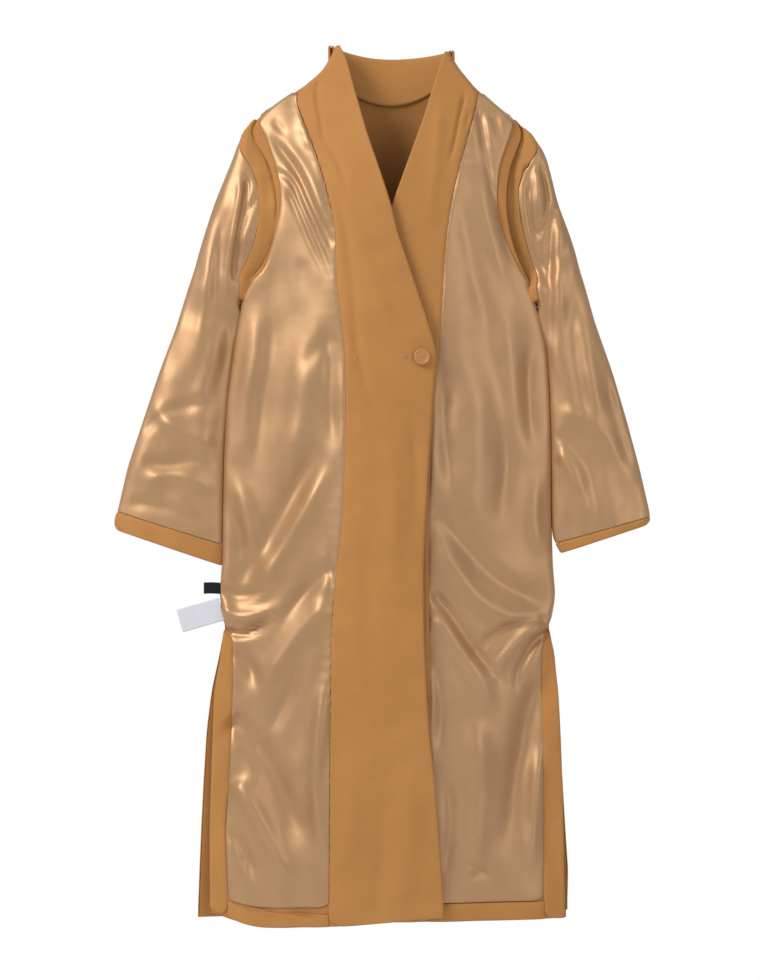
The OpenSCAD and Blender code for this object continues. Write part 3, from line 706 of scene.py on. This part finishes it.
def cloth_material(name, light, dark, roughness, threads=1300, bump=0.12, depth=0.0002, broad=6, fine=55,
                   mottle=0.35, slub=0.4, crease=0.0, **shader_values):
    """A woven cloth: two shades mixed by slow and fine tone, and threads in the normal."""
    material = bpy.data.materials.new(name)
    material.use_nodes = True
    tree = material.node_tree
    shader = tree.nodes["Principled BSDF"]
    for label, value in shader_values.items():
        shader.inputs[label.replace("_", " ")].default_value = value
    weave = tree.nodes.new("ShaderNodeGroup")
    weave.node_tree = WEAVE
    weave.inputs["Threads"].default_value = threads
    weave.inputs["Slub"].default_value = slub
    tone = tree.nodes.new("ShaderNodeGroup")
    tone.node_tree = TONE
    tone.inputs["Broad"].default_value = broad
    tone.inputs["Fine"].default_value = fine
    mixed = math_node(tree, "MULTIPLY", tone.outputs["Fine"], mottle)
    mixed = math_node(tree, "ADD", math_node(tree, "MULTIPLY", tone.outputs["Broad"], 1 - mottle), mixed)
    threads_tone = math_node(tree, "MULTIPLY", weave.outputs["Tone"], 0.25)
    mixed = math_node(tree, "ADD", math_node(tree, "MULTIPLY", mixed, 0.8), threads_tone)
    ramp = tree.nodes.new("ShaderNodeValToRGB")
    ramp.color_ramp.elements[0].position, ramp.color_ramp.elements[1].position = 0.34, 0.72
    ramp.color_ramp.elements[0].color = (*dark, 1)
    ramp.color_ramp.elements[1].color = (*light, 1)
    tree.links.new(mixed, ramp.inputs["Fac"])
    tree.links.new(ramp.outputs["Color"], shader.inputs["Base Color"])
    rough = math_node(tree, "MULTIPLY", tone.outputs["Fine"], 0.14)
    tree.links.new(math_node(tree, "ADD", rough, roughness - 0.07), shader.inputs["Roughness"])
    bump_node = tree.nodes.new("ShaderNodeBump")
    bump_node.inputs["Strength"].default_value = bump
    bump_node.inputs["Distance"].default_value = depth
    tree.links.new(weave.outputs["Height"], bump_node.inputs["Height"])
    normal = bump_node.outputs["Normal"]
    if crease:
        where = tree.nodes.new("ShaderNodeTexCoord").outputs["Object"]
        soft = tree.nodes.new("ShaderNodeBump")
        soft.inputs["Strength"].default_value = crease
        soft.inputs["Distance"].default_value = 0.003
        tree.links.new(noise(tree, where, 26, 2, 0.5), soft.inputs["Height"])
        tree.links.new(normal, soft.inputs["Normal"])
        normal = soft.outputs["Normal"]
    tree.links.new(normal, shader.inputs["Normal"])
    return material


OCHRE = dict(roughness=0.82, crease=0.2, Sheen_Weight=0.12, Sheen_Roughness=0.4)
MATERIALS = {
    "ochre_cloth": cloth_material("ochre cloth", (0.50, 0.215, 0.052), (0.44, 0.18, 0.042), **OCHRE),
    "ochre_facing": cloth_material("ochre facing", (0.53, 0.235, 0.060), (0.46, 0.195, 0.047), **OCHRE),
    "satin_lining": cloth_material(
        "satin lining", (0.575, 0.338, 0.170), (0.485, 0.275, 0.134), roughness=0.46, threads=2600, bump=0.05,
        slub=0.2, mottle=0.2, crease=0.24, Metallic=0.55, Specular_IOR_Level=0.4, Sheen_Weight=0.1,
        Sheen_Roughness=0.3),
    "button": cloth_material(
        "button", (0.52, 0.225, 0.062), (0.45, 0.185, 0.048), roughness=0.34, threads=300, bump=0.02,
        slub=1.2, fine=240, Coat_Weight=0.15),
    "thread": cloth_material(
        "thread", (0.72, 0.42, 0.18), (0.60, 0.33, 0.13), roughness=0.6, threads=4200, bump=0.3),
    "maker_label": cloth_material(
        "black ribbon", (0.011, 0.012, 0.018), (0.006, 0.007, 0.011), roughness=0.5, threads=3400, bump=0.2,
        Specular_IOR_Level=0.2),
    "care_label": cloth_material(
        "white ribbon", (0.76, 0.76, 0.80), (0.66, 0.66, 0.71), roughness=0.38, threads=3000, bump=0.12),
}


# ---------------------------------------------------------------- what each piece belongs to
VENT_START, VENT_END = (0, 0, -0.700), (0, 0, -0.860)


def finish_piece(piece, slot, replaces, body=None, blend=None):
    """Gives a piece its material, hides the nodes it stands for and ties it to the body it moves with. A
    piece given a blend only has its transform baked in."""
    piece.data.materials.clear()
    piece.data.materials.append(MATERIALS[slot])
    if replaces:
        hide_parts(*replaces)
    if blend:
        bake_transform(piece)
    else:
        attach(piece, body)
    return piece


def front_blend(side):
    return ("coat", f"skirt_{side}", VENT_START, VENT_END)


BACK_BLEND = ("coat", "skirt_back", VENT_START, VENT_END)
ARMHOLE_TOP, ARMHOLE_FOOT = -0.034, -0.262
VENT_TOP = -0.731
NECK_SEAM = 0.004
SIDE_SEAM = (VENT_TOP + 0.0005, ARMHOLE_FOOT)
SHOULDER = (ARMHOLE_TOP, FAR)
ABOVE_NECK = (NECK_SEAM, FAR)
ARMHOLE = (ARMHOLE_FOOT, ARMHOLE_TOP)
BELOW_VENT = (-FAR, VENT_TOP - 0.0005)
LINING_SIDE = {"roll": [SIDE_SEAM, SHOULDER], "seam": [ARMHOLE, BELOW_VENT]}
SHELL_SIDE = {"roll": [SIDE_SEAM, SHOULDER]}
FACING_SIDE = {"roll": [ABOVE_NECK], "seam": [(-FAR, NECK_SEAM)]}
YOKE_SIDE = {"roll": [SHOULDER], "seam": [ARMHOLE]}
FREE = {"turn": ALL}
SEAM = {"seam": ALL}


def add_fronts():
    for side, relief, facing in (("left", left_relief, LEFT_FACING), ("right", right_relief, RIGHT_FACING)):
        outer_first = side == "left"
        lining = [f"front_{side}_lining", f"skirt_{side}_lining"]
        shell = [f"front_{side}_shell", f"skirt_{side}_shell"]
        vent, hem = [f"skirt_{side}_vent_facing"], [f"skirt_{side}_hem_facing"]

        def edges(outer, inner):
            return (outer, inner) if outer_first else (inner, outer)

        def lay(name, nodes, slot, outer, inner, **more):
            left, right = edges(outer, inner)
            piece = panel(name, nodes, -1, relief, left, right, **more)
            finish_piece(piece, slot, nodes, blend=front_blend(side))

        seed = 60 if outer_first else 70
        gather = edges(None, (seed, 15, 0.9, 9))
        lay(f"{side}_lining", lining, "satin_lining", LINING_SIDE, SEAM, bottom=True, low="seam", step_mm=4.5,
            thick_mm=0.7, gather=gather)
        lay(f"{side}_facing", facing, "ochre_facing", FACING_SIDE, FREE, bottom=True,
            gather=edges((seed + 1, 21, 0.3, 7), None))
        lay(f"{side}_front_cloth", shell, "ochre_cloth", SHELL_SIDE, FREE, bottom=True, step_mm=7,
            grow_mm=edges(-1.5, -0.2))
        lay(f"{side}_vent_facing", vent, "ochre_facing", FREE, SEAM, bottom=True, step_mm=5)
        lay(f"{side}_hem_facing", hem, "ochre_facing", SEAM, SEAM, bottom="band", step_mm=5)


def add_back():
    lay = [
        ("back_lining_cloth", ["back_lining", "skirt_back_lining"], "satin_lining", LINING_SIDE, LINING_SIDE,
         dict(bottom=True, low="seam", step_mm=6, thick_mm=0.7, gather=((80, 16, 0.6, 8), (81, 16, 0.6, 8)))),
        ("back_cloth", ["back_shell", "skirt_back_shell"], "ochre_cloth", SHELL_SIDE, SHELL_SIDE,
         dict(bottom=True, head=True, step_mm=8, grow_mm=(-1.5, -1.5))),
        ("back_yoke", ["back_yoke_facing"], "ochre_facing", YOKE_SIDE, YOKE_SIDE,
         dict(head=True, low="seam", step_mm=6)),
        ("back_vent_facing_left", ["skirt_back_vent_facing_left"], "ochre_facing", FREE, SEAM,
         dict(bottom=True, step_mm=5)),
        ("back_vent_facing_right", ["skirt_back_vent_facing_right"], "ochre_facing", SEAM, FREE,
         dict(bottom=True, step_mm=5)),
        ("back_hem_facing", ["skirt_back_hem_facing"], "ochre_facing", SEAM, SEAM,
         dict(bottom="band", step_mm=6)),
    ]
    for name, nodes, slot, left, right, more in lay:
        piece = panel(name, nodes, 1, back_body, left, right, **more)
        finish_piece(piece, slot, nodes, blend=BACK_BLEND)


# ---------------------------------------------------------------- sleeves
# Down a sleeve, s runs from 0 at the shoulder past UNDERARM to 1 at the wrist. Each row joins a height on
# the sleeve's outer edge to a lower one on its inner edge.
UNDERARM = 0.34
ROW_STOPS = [0, UNDERARM, 1]
OUTER_MM = {"left": [-36, -249, -597], "right": [-38, -251, -590]}
INNER_MM = {"left": [-35, -285, -643], "right": [-37, -287, -626]}
SHOULDER_TIP_MM = {  # heights down the shoulder's end, and the outer edge there
    "left": ([-34, -48, -62], [-178, -190, -198]),
    "right": ([-37, -45, -49, -62], [177, 189, 198, 208]),
}
# Where the cloth of a lifted sleeve is meant to bend, as given in its blend; nothing here bends it. It is
# given, and isn't the joint's own line but inside it.
BEND_X, BEND_Z = {"left": -0.231, "right": 0.242}, -0.268
DOWN_SLEEVE = (0.51, -0.86)  # the way the sleeve hangs, outwards and up
BEND_ABOVE, BEND_BELOW = 0.015, 0.11  # how far up and down the sleeve from there the blend reaches
BODY_END = -0.286  # the armhole seam follows the body down to here, and the sleeve's own edge below
SLEEVE_END = -0.644
UNDERARM_REACH = 0.0045  # how far the sleeve's inner edge lies in against the body
CUFF_START = {"left": 0.948, "right": 0.974}
S_LENGTH = 0.527
RING_COLUMNS = 64
BULGE_STOPS = [0, 0.1, 0.2, UNDERARM, 0.46, 0.85, 1]
BULGE_MM = [1.5, 4, 7, 13, 19.5, 19, 16.5]  # how far the sleeve rounds out, front and back
LEFT_SLEEVE = [
    [[(-188, -112), (-186, -132), (-194, -181), (-202, -235), (-199, -262)], 4.0, -4.4, 0.1, 0.2],
    [[(-197, -112), (-196, -140), (-204, -185), (-212, -240), (-210, -290)], 5.0, 3.6, 0.2, 0.3],
    [[(-171, -138), (-184, -164), (-189, -202)], 4.0, -3.2, 0.1, 0.4],
    [[(-177, -150), (-188, -190), (-196, -226)], 4.0, 2.4, 0.3, 0.4],
    [[(-216, -150), (-222, -200), (-228, -260), (-226, -330)], 8, -3.0, 0.3, 0.4],
    [[(-232, -190), (-240, -250), (-250, -330), (-266, -420)], 10, 3.2, 0.3, 0.4],
    [[(-208, -290), (-214, -350), (-226, -420)], 8, -2.6, 0.3, 0.4],
    [[(-226, -300), (-240, -380), (-262, -450)], 12, 3.4, 0.3, 0.4],
    [[(-340, -470), (-306, -440), (-262, -424), (-226, -428)], 8, -3.2, 0.2, 0.3],
    [[(-318, -420), (-290, -452), (-250, -470), (-226, -472)], 9, 3.4, 0.2, 0.3],
    [[(-336, -500), (-300, -506), (-262, -500), (-228, -508)], 9, -3.4, 0.2, 0.3],
    [[(-330, -530), (-288, -520), (-250, -530), (-228, -548)], 9, 3.4, 0.2, 0.3],
    [[(-352, -556), (-320, -560), (-280, -570), (-240, -590)], 7, -2.6, 0.2, 0.3],
]
RIGHT_SLEEVE = [
    [[(212, -87), (221, -130), (223, -155), (217, -181), (206, -192), (201, -173), (197, -144), (198, -116)],
     3.2, -4.4, 0.08, 0.08],
    [[(206, -100), (210, -130), (210, -166)], 5.5, 3.6, 0.3, 0.3],
    [[(226, -100), (232, -140), (232, -170)], 4.5, 2.6, 0.3, 0.4],
    [[(238, -150), (228, -176), (225, -235), (226, -320), (232, -400)], 4.5, -3.8, 0.08, 0.5],
    [[(246, -170), (238, -210), (238, -280), (246, -360)], 7, 3.4, 0.2, 0.4],
    [[(190, -101), (203, -104)], 3.2, -3.6, 0.1, 0.1],
    [[(204, -196), (206, -220), (216, -240), (220, -270)], 3.4, -2.8, 0.3, 0.2],
    [[(258, -240), (256, -320), (270, -420), (280, -500)], 10, -3.4, 0.3, 0.3],
    [[(270, -300), (284, -400), (300, -480)], 12, 3.6, 0.3, 0.4],
    [[(234, -460), (262, -484), (286, -526), (298, -584)], 8, -3.4, 0.1, 0.3],
    [[(234, -486), (256, -512), (272, -556), (276, -604)], 8, 3.4, 0.1, 0.3],
    [[(236, -430), (276, -444), (316, -486), (338, -540)], 10, 3.2, 0.2, 0.3],
    [[(300, -380), (318, -450), (336, -520)], 9, -3.0, 0.3, 0.3],
]


class Sleeve:
    """One sleeve as rows of points round it, from the front of its seam over the outer edge to the back."""

    def __init__(self, side):
        self.side = side
        self.way = -1 if side == "left" else 1
        skins = [f"sleeve_head_facing_{side}", f"sleeve_head_lining_{side}", f"sleeve_lining_{side}",
                 f"cuff_facing_{side}"]
        tube_only = [f"sleeve_lining_{side}", f"cuff_facing_{side}"]
        body = Surface([f"front_{side}_shell"], -1)
        skin = Surface([f"front_{side}_lining", f"armhole_facing_{side}"], -1)
        outer, inner = (0, 1) if side == "left" else (1, 0)
        z = np.arange(ARMHOLE_TOP, SLEEVE_END, -0.002)
        self.z = z
        self.outer_x = Surface(skins, -1).edges(z)[outer]
        self.seam_x = np.where(z > BODY_END, body.edges(z)[outer], Surface(tube_only, -1).edges(z)[inner])
        reach = UNDERARM_REACH * ease((-0.25 - z) / 0.02) * (1 + 0.8 * ease((z + 0.36) / 0.05))
        self.seam_x = smooth(self.seam_x, 3) - self.way * reach
        tip_z, tip_x = (np.array(v) * MM for v in SHOULDER_TIP_MM[side])
        self.outer_x = np.where(z > tip_z[-1], np.interp(-z, -tip_z, tip_x), self.outer_x)
        self.outer_x = smooth(self.outer_x, 2)
        self.seam_depth = np.abs(skin.at(self.seam_x, z))
        self.folds = LEFT_SLEEVE if side == "left" else RIGHT_SLEEVE

    def relief(self, x, z, front):
        seed = 90 if self.side == "left" else 95
        soft = drape(x, z, seed + front, 46, 1.4, 300) + crumple(x, z, seed + 2 + front, 60, 0.9)
        return soft + (add_folds(x, z, self.folds, 1.3) if front else 0)

    def grid(self, s, start, stop, inset_mm=0.0, columns=RING_COLUMNS, puff_mm=0.0, dip=False, shrink=None):
        """start and stop are where each row begins and ends on its arc, in degrees."""
        zo = np.interp(s, ROW_STOPS, OUTER_MM[self.side])[:, None] * MM
        zi = np.interp(s, ROW_STOPS, INNER_MM[self.side])[:, None] * MM
        inset = inset_mm * MM + (0 if shrink is None else shrink[:, None])
        x_out = np.interp(-zo, -self.z, self.outer_x) - self.way * inset
        x_in = np.interp(-zi, -self.z, self.seam_x) + self.way * np.minimum(inset, 0.0035)
        tube = ease((s - UNDERARM) / 0.09)[:, None]
        deep = np.maximum(np.interp(-zi, -self.z, self.seam_depth) - inset, 0.0005) * (1 - tube)
        bulge = np.interp(s, BULGE_STOPS, BULGE_MM)[:, None] * MM - inset
        a = np.radians(start[:, None] + (stop - start)[:, None] * np.linspace(0, 1, columns)[None, :])
        share = (1 - tube) * np.sin(a) + tube * np.sin(a) ** 2
        x = x_in + (x_out - x_in) * share
        z = zi + (zo - zi) * share
        y = -deep * np.cos(a) - bulge * np.sin(2 * a)
        front = (a < math.pi / 2).astype(float)
        fade = np.clip(np.abs(share) / 0.14, 0, 1) * np.clip((1 - share) / 0.12, 0, 1)
        fade = fade * fade * (3 - 2 * fade)
        out = front * self.relief(x, z, 1) + (1 - front) * self.relief(x, z, 0)
        y = y + np.where(front > 0.5, -1, 1) * out * fade
        across = np.linspace(0, 1, columns)[None, :]
        if puff_mm:
            y = y + np.where(front > 0.5, -1, 1) * crumple(x, z, 18, 24, 0.55)
            y = y + np.where(front > 0.5, -1, 1) * puff_mm * MM * np.sin(math.pi * across) ** 0.5
        if dip:
            d = np.minimum(across, 1 - across) * np.abs(x_out - x_in) * 2
            y = y + np.where(front > 0.5, 1, -1) * (1 - tube) * SEAM_DIP * np.exp(-((d / SEAM_REACH) ** 2))
        grid = np.stack([x, y, z], -1)
        return grid[:, ::-1] if self.side == "left" else grid


FACING_TURN = {"left": [88, 80, 62, 36, 24, 18, 15, 13, 11.5, 9, 3, 0, 0],
               "right": [88, 76, 54, 30, 18, 13, 12.5, 12, 10, 8.5, 3, 0, 0]}
FACING_STOPS = [0, 0.03, 0.055, 0.08, 0.1, 0.125, 0.16, 0.22, 0.27, 0.31, UNDERARM, UNDERARM + 0.03, 1]
BAND_LAP = 1.2  # degrees that it reaches over the lining
BAND_TUCK = 4  # degrees that the band on the sleeve reaches past its seam


def add_sleeve(side):
    sleeve = Sleeve(side)
    cuff = CUFF_START[side]
    centre = Vector((BEND_X[side], 0, BEND_Z))
    down = Vector((DOWN_SLEEVE[0] * sleeve.way, 0, DOWN_SLEEVE[1]))
    blend = ("coat", f"sleeve_{side}", centre - BEND_ABOVE * down, centre + BEND_BELOW * down)

    def turn(s):
        return np.interp(s, FACING_STOPS, FACING_TURN[side])

    s = np.concatenate([np.linspace(0, cuff - 0.004, 118), [cuff - 0.001]])
    piece = grid_mesh(f"sleeve_lining_cloth_{side}", sleeve.grid(s, turn(s), 180 - turn(s), dip=True))
    nodes = [f"sleeve_head_lining_{side}", f"sleeve_lining_{side}"]
    finish_piece(thicken(piece, 0.7), "satin_lining", nodes, blend=blend)

    s = np.linspace(0.004, 0.998, 90)
    piece = grid_mesh(f"sleeve_cloth_{side}", sleeve.grid(s, 0 * s, 180 + 0 * s, inset_mm=2.8))
    nodes = [f"sleeve_head_shell_{side}", f"sleeve_shell_{side}"]
    finish_piece(thicken(piece, 1.2), "ochre_cloth", nodes, blend=blend)

    end = 1 - np.array([4.5, 3.0, 1.6, 0.7, 0]) * MM / S_LENGTH
    s = cuff + np.array([0, 0.7, 1.6, 3.0, 5]) * MM / S_LENGTH
    s = np.unique(np.concatenate([s[s < end[0]], np.linspace(s[-1], end[0], 5), end]))
    to_end = (1 - s) * S_LENGTH
    from_seam = (s - cuff) * S_LENGTH
    q = np.clip(1 - to_end / TURN, 0, 1)
    shrink = TURN_DROP * (1 - np.sqrt(1 - q * q)) + 0.0014 * np.exp(-((from_seam / 0.0016) ** 2)) - 0.0009
    piece = grid_mesh(f"cuff_{side}", sleeve.grid(s, 0 * s, 180 + 0 * s, shrink=shrink))
    finish_piece(thicken(piece, 1.4), "ochre_facing", [f"cuff_facing_{side}"], blend=blend)

    s = np.linspace(0, UNDERARM - 0.004, 70)
    strips = []
    front = ("a", 0 * s - BAND_TUCK, turn(s) + BAND_LAP)
    back = ("b", 180 - BAND_LAP - turn(s), 180 + BAND_TUCK + 0 * s)
    for name, first, last in (front, back):
        grid = sleeve.grid(s, first, last, columns=17, puff_mm=1.0)
        strips.append(thicken(grid_mesh(name, grid), 1.2))
    piece = joined(f"sleeve_head_band_{side}", strips)
    finish_piece(piece, "ochre_facing", [f"sleeve_head_facing_{side}"], body="coat")


def add_armhole_band(side):
    """The ochre band on the body's side of the armhole, front and back, from the lining to the seam."""
    relief = left_relief if side == "left" else right_relief
    node = f"armhole_facing_{side}"

    def puffed(x, z):
        return relief(x, z) * 0.6 + crumple(x, z, 15, 26, 0.5) + 0.0008

    def puffed_back(x, z):
        return back_body(x, z) + crumple(x, z, 16, 26, 0.4) + 0.0008

    edge = 0 if side == "left" else 1
    parts = []
    for name, way, fold_of, lining, shell in (
        ("a", -1, puffed, [f"front_{side}_lining"], [f"front_{side}_shell"]),
        ("b", 1, puffed_back, ["back_yoke_facing", "back_lining"], ["back_shell"]),
    ):
        bounds = ((shell, edge), (lining, edge))
        bounds = bounds if side == "left" else bounds[::-1]
        parts.append(panel(name, lining + [node], way, fold_of, SEAM, SEAM, step_mm=2.5, low="open",
                           between=bounds, span=(ARMHOLE_TOP - MM, ARMHOLE_FOOT)))
    finish_piece(joined(f"armhole_band_{side}", parts), "ochre_facing", [node], body="coat")


# ---------------------------------------------------------------- collar and hanger loop
def collar_grid(out_mm, rounded):
    low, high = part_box("collar_inner")
    centre, half_w, half_d = (low.x + high.x) / 2, (high.x - low.x) / 2 - 1.2 * MM, high.y - 1.2 * MM
    a = np.radians(np.linspace(192, -12, 90))[None, :]
    level = np.concatenate([[1, 0.985, 0.96, 0.93], np.linspace(0.88, -0.32, 15)])[:, None]
    side = np.cos(a) ** 2
    top = (51 + 15 * side * np.where(np.cos(a) < 0, 1, 0.55)) * MM
    foot = (3 + 28 * side) * MM
    q = np.clip((level - 0.92) / 0.08, 0, 1)
    wave = 0.0006 * np.sin(a * 5 + 1) * (1 - level)
    out = out_mm * MM + rounded * MM * (1 - np.sqrt(1 - q * q * 0.98)) + wave
    x = centre + (half_w + out) * np.cos(a)
    y = (half_d + out) * np.sin(a)
    return np.stack([x, y, foot + (top - foot) * level], -1)


def add_collar():
    piece = grid_mesh("collar_inside", collar_grid(0, 1.4)[:, ::-1])
    finish_piece(thicken(piece, 1.2), "ochre_facing", ["collar_inner"], body="coat")
    piece = grid_mesh("collar_outside", collar_grid(4.4, -1.4))
    finish_piece(thicken(piece, 1.4), "ochre_cloth", ["collar_outer"], body="coat")


def add_hanger_loop():
    low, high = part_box("hanger_loop")
    y = (low.y + high.y) / 2 / MM + 1
    left, right, top, foot = low.x / MM + 2, high.x / MM - 2, high.z / MM, low.z / MM + 2
    corner = [(6 * (1 - math.cos(t)), 6 * (1 - math.sin(t))) for t in np.linspace(0, math.pi / 2, 7)]
    path = [(left, y - 1.5, top), (left, y, top - 4)]
    path += [(left + u, y, foot + v) for u, v in corner]
    path += [(x, y + 0.3 * math.sin(x / 5), foot) for x in np.linspace(left + 9, right - 9, 12)]
    path += [(right - u, y, foot + v) for u, v in reversed(corner)]
    path += [(right, y, top - 4), (right, y - 1.5, top)]
    piece = tube("hanging_loop", path, 1.9, flat=0.42, sides=12)
    finish_piece(piece, "ochre_cloth", ["hanger_loop"], body="hanger_loop")


# ---------------------------------------------------------------- buttons, stitches and labels
BUTTON_PROFILE = [(0, 0.3), (6, 0.2), (9.6, 0.25), (10.8, 0.7), (11.15, 1.3), (10.9, 2.0), (10.3, 2.6),
                  (9.5, 2.95), (8.7, 2.85), (8.0, 2.45), (7.2, 2.2), (5.0, 2.1), (0, 2.1)]
HOLE_RADIUS_MM, HOLE_FROM_MIDDLE_MM = 0.95, 2.25


def add_button(name, node, body):
    low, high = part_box(node)
    at = Vector(((low.x + high.x) / 2, high.y, (low.z + high.z) / 2))
    profile = curve(BUTTON_PROFILE, 60)
    a = np.linspace(0, math.tau, 96, endpoint=False)[None, :]
    r, h = np.maximum(profile[:, :1], 1e-5), profile[:, 1:]
    grid = np.stack([at.x + r * np.cos(a), at.y - h + 0 * a, at.z + r * np.sin(a)], -1)
    piece = grid_mesh(name, grid, closed=True)
    b = bmesh.new()
    b.from_mesh(piece.data)
    bmesh.ops.remove_doubles(b, verts=b.verts, dist=2e-5)
    bmesh.ops.recalc_face_normals(b, faces=b.faces)
    b.to_mesh(piece.data)
    b.free()
    for way in (-1, 1):
        bpy.ops.mesh.primitive_cylinder_add(vertices=32, radius=HOLE_RADIUS_MM * MM, depth=0.012,
                                            location=(at.x + way * HOLE_FROM_MIDDLE_MM * MM, at.y, at.z),
                                            rotation=(math.radians(90), 0, 0))
        drill = bpy.context.object
        cut = piece.modifiers.new("hole", "BOOLEAN")
        cut.object, cut.operation, cut.solver = drill, "DIFFERENCE", "EXACT"
        bpy.context.view_layer.update()
        apply_modifiers(piece)
        bpy.data.objects.remove(drill)
    finish_piece(piece, "button", [node], body=body)
    return at


def add_button_thread(at):
    face = at.y / MM - 2.1
    strands = []
    for k in range(4):
        z = at.z / MM + 0.3 * (k - 1.5)
        x = at.x / MM
        half = [(2.3, 1.6), (2.1, -0.1), (1.2, -0.45)]
        path = [(x - u, face + v, z) for u, v in half] + [(x, face - 0.5, z)]
        path += [(x + u, face + v, z) for u, v in reversed(half)]
        strands.append(tube(f"strand{k}", path, 0.17, sides=6))
    for k in range(6):
        a = k * math.tau / 6
        x, z = at.x / MM + 1.1 * math.cos(a), at.z / MM + 1.1 * math.sin(a)
        path = [(x, at.y / MM - 0.5 + t, z) for t in (0, 1.5, 3.5, 6)]
        strands.append(tube(f"shank{k}", path, 0.45, sides=6))
    piece = joined("button_thread", strands)
    finish_piece(piece, "thread", ["inner_button_thread"], body="inner_button")


def face_mm(skin, x, z):
    """How deep the face of the left front's cloth lies at one place, in mm."""
    at = np.array([x]), np.array([z])
    return float(skin.at(*at)[0] - left_relief(*at)[0]) / MM


def add_buttonhole(skin):
    """Stitches side by side above and below the slit, and a bar of three at each end."""
    low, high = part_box("buttonhole")
    z0 = (low.z + high.z) / 2
    z = z0 / MM
    xs = np.arange(low.x + 1.5 * MM, high.x - 1.5 * MM, 0.62 * MM)
    stitches = []
    r = np.random.default_rng(5)
    for way in (-1, 1):
        for place in xs:
            x, y = place / MM, face_mm(skin, place, z0)
            near, far = 0.35, 1.75 + r.uniform(-0.12, 0.12)
            path = [(x, y - 0.05, z + way * near), (x, y - 0.42, z + way * (near + 0.35)),
                    (x + 0.05, y - 0.36, z + way * (far - 0.3)), (x + 0.05, y + 0.05, z + way * far)]
            stitches.append(tube("stitch", path, 0.27, sides=6))
    for place in (xs[0] - 0.5 * MM, xs[-1] + 0.5 * MM):
        y = face_mm(skin, place, z0)
        for k in range(3):
            x = place / MM + 0.35 * (k - 1)
            path = [(x, y - 0.1, z - 1.9), (x, y - 0.45, z - 1), (x, y - 0.45, z + 1), (x, y - 0.1, z + 1.9)]
            stitches.append(tube("bar", path, 0.27, sides=6))
    piece = joined("buttonhole_stitches", stitches)
    finish_piece(piece, "thread", ["buttonhole"], body="coat")


def add_outer_stitches(skin):
    low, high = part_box("outer_button_stitches")
    x0, z0 = (low.x + high.x) / 2, (low.z + high.z) / 2
    y = face_mm(skin, x0, z0)
    strands = []
    for k, dz in enumerate((-0.9, -0.4, 0.2, 0.7)):
        z, x = z0 / MM + dz, x0 / MM + 0.2 * (k % 2)
        path = [(x - 2.2, y + 0.3, z), (x - 1.4, y - 0.3, z + 0.1), (x, y - 0.5, z)]
        path += [(x + 1.4, y - 0.3, z - 0.1), (x + 2.2, y + 0.3, z)]
        strands.append(tube(f"strand{k}", path, 0.24, sides=6))
    piece = joined("outer_button_thread", strands)
    finish_piece(piece, "thread", ["outer_button_stitches"], body="coat")


CARE_LEAVES = [(52, 32, 16, 0), (51, 31, 17.3, 1.1)]  # length and height, tilt in degrees, how far back


def joint_at(name):
    return next(j["pos_m"] for j in frame["joints"] if j["name"] == name)


def add_care_label():
    hinge = joint_at("care_label_turn")
    leaves = []
    for k, (length, height, tilt, back) in enumerate(CARE_LEAVES):
        a = math.radians(tilt)
        u, v = np.meshgrid(np.linspace(-0.14, 1, 29), np.linspace(0, 1, 17))
        bend = 1.6 * np.sin(u * 2.6 + 0.4 * k) * (0.5 + 0.5 * v) + 0.5 * np.sin(u * 9 + 2 * v)
        x = hinge[0] + (-u * length * math.cos(a) + v * height * math.sin(a)) * MM
        z = hinge[2] + (-u * length * math.sin(a) - v * height * math.cos(a)) * MM
        y = hinge[1] + (back - bend * u) * MM
        leaves.append(thicken(grid_mesh(f"leaf{k}", np.stack([x, y, z], -1)), 0.28))
    finish_piece(joined("care_label_leaves", leaves), "care_label", ["care_label"], body="care_label")


def add_maker_label():
    low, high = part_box("maker_label")
    mid = (low.y + high.y) / 2
    sewn = high.x + 4.5 * MM
    path = [(sewn, mid - 0.5 * MM), (high.x - 6 * MM, mid - 0.8 * MM), (low.x + 2 * MM, mid - 0.7 * MM),
            (low.x + 0.2 * MM, mid), (low.x + 2 * MM, mid + 0.7 * MM), (high.x - 6 * MM, mid + 0.8 * MM),
            (sewn, mid + 0.5 * MM)]
    line = curve([(x / MM, y / MM) for x, y in path], 40)
    v = np.linspace(0, 1, 13)[:, None]
    x, y = line[None, :, 0] + 0 * v, line[None, :, 1] + 0 * v
    z = high.z + (low.z - high.z) * v + 0.4 * MM * np.sin((x - low.x) / (high.x - low.x) * 3)
    piece = thicken(grid_mesh("maker_ribbon", np.stack([x, y, z], -1)), 0.3)
    finish_piece(piece, "maker_label", ["maker_label"], body="maker_label")


def add_trims():
    skin = Surface(["front_left_facing"], -1)
    add_button_thread(add_button("front_button", "inner_button", "inner_button"))
    add_button("hidden_button", "outer_button", "outer_button")
    add_buttonhole(skin)
    add_outer_stitches(skin)
    add_care_label()
    add_maker_label()
    add_hanger_loop()


def add_floor():
    bpy.ops.mesh.primitive_plane_add(size=6, location=(0, 0, FLOOR_Z))
    floor = bpy.context.object
    floor.name = "floor"
    material = bpy.data.materials.new("pale floor")
    material.use_nodes = True
    material.node_tree.nodes["Principled BSDF"].inputs["Base Color"].default_value = (0.86, 0.86, 0.86, 1)
    material.node_tree.nodes["Principled BSDF"].inputs["Roughness"].default_value = 0.8
    floor.data.materials.append(material)


add_camera()
add_studio()
add_floor()
add_fronts()
add_back()
for side in ("left", "right"):
    add_sleeve(side)
    add_armhole_band(side)
add_collar()
add_trims()
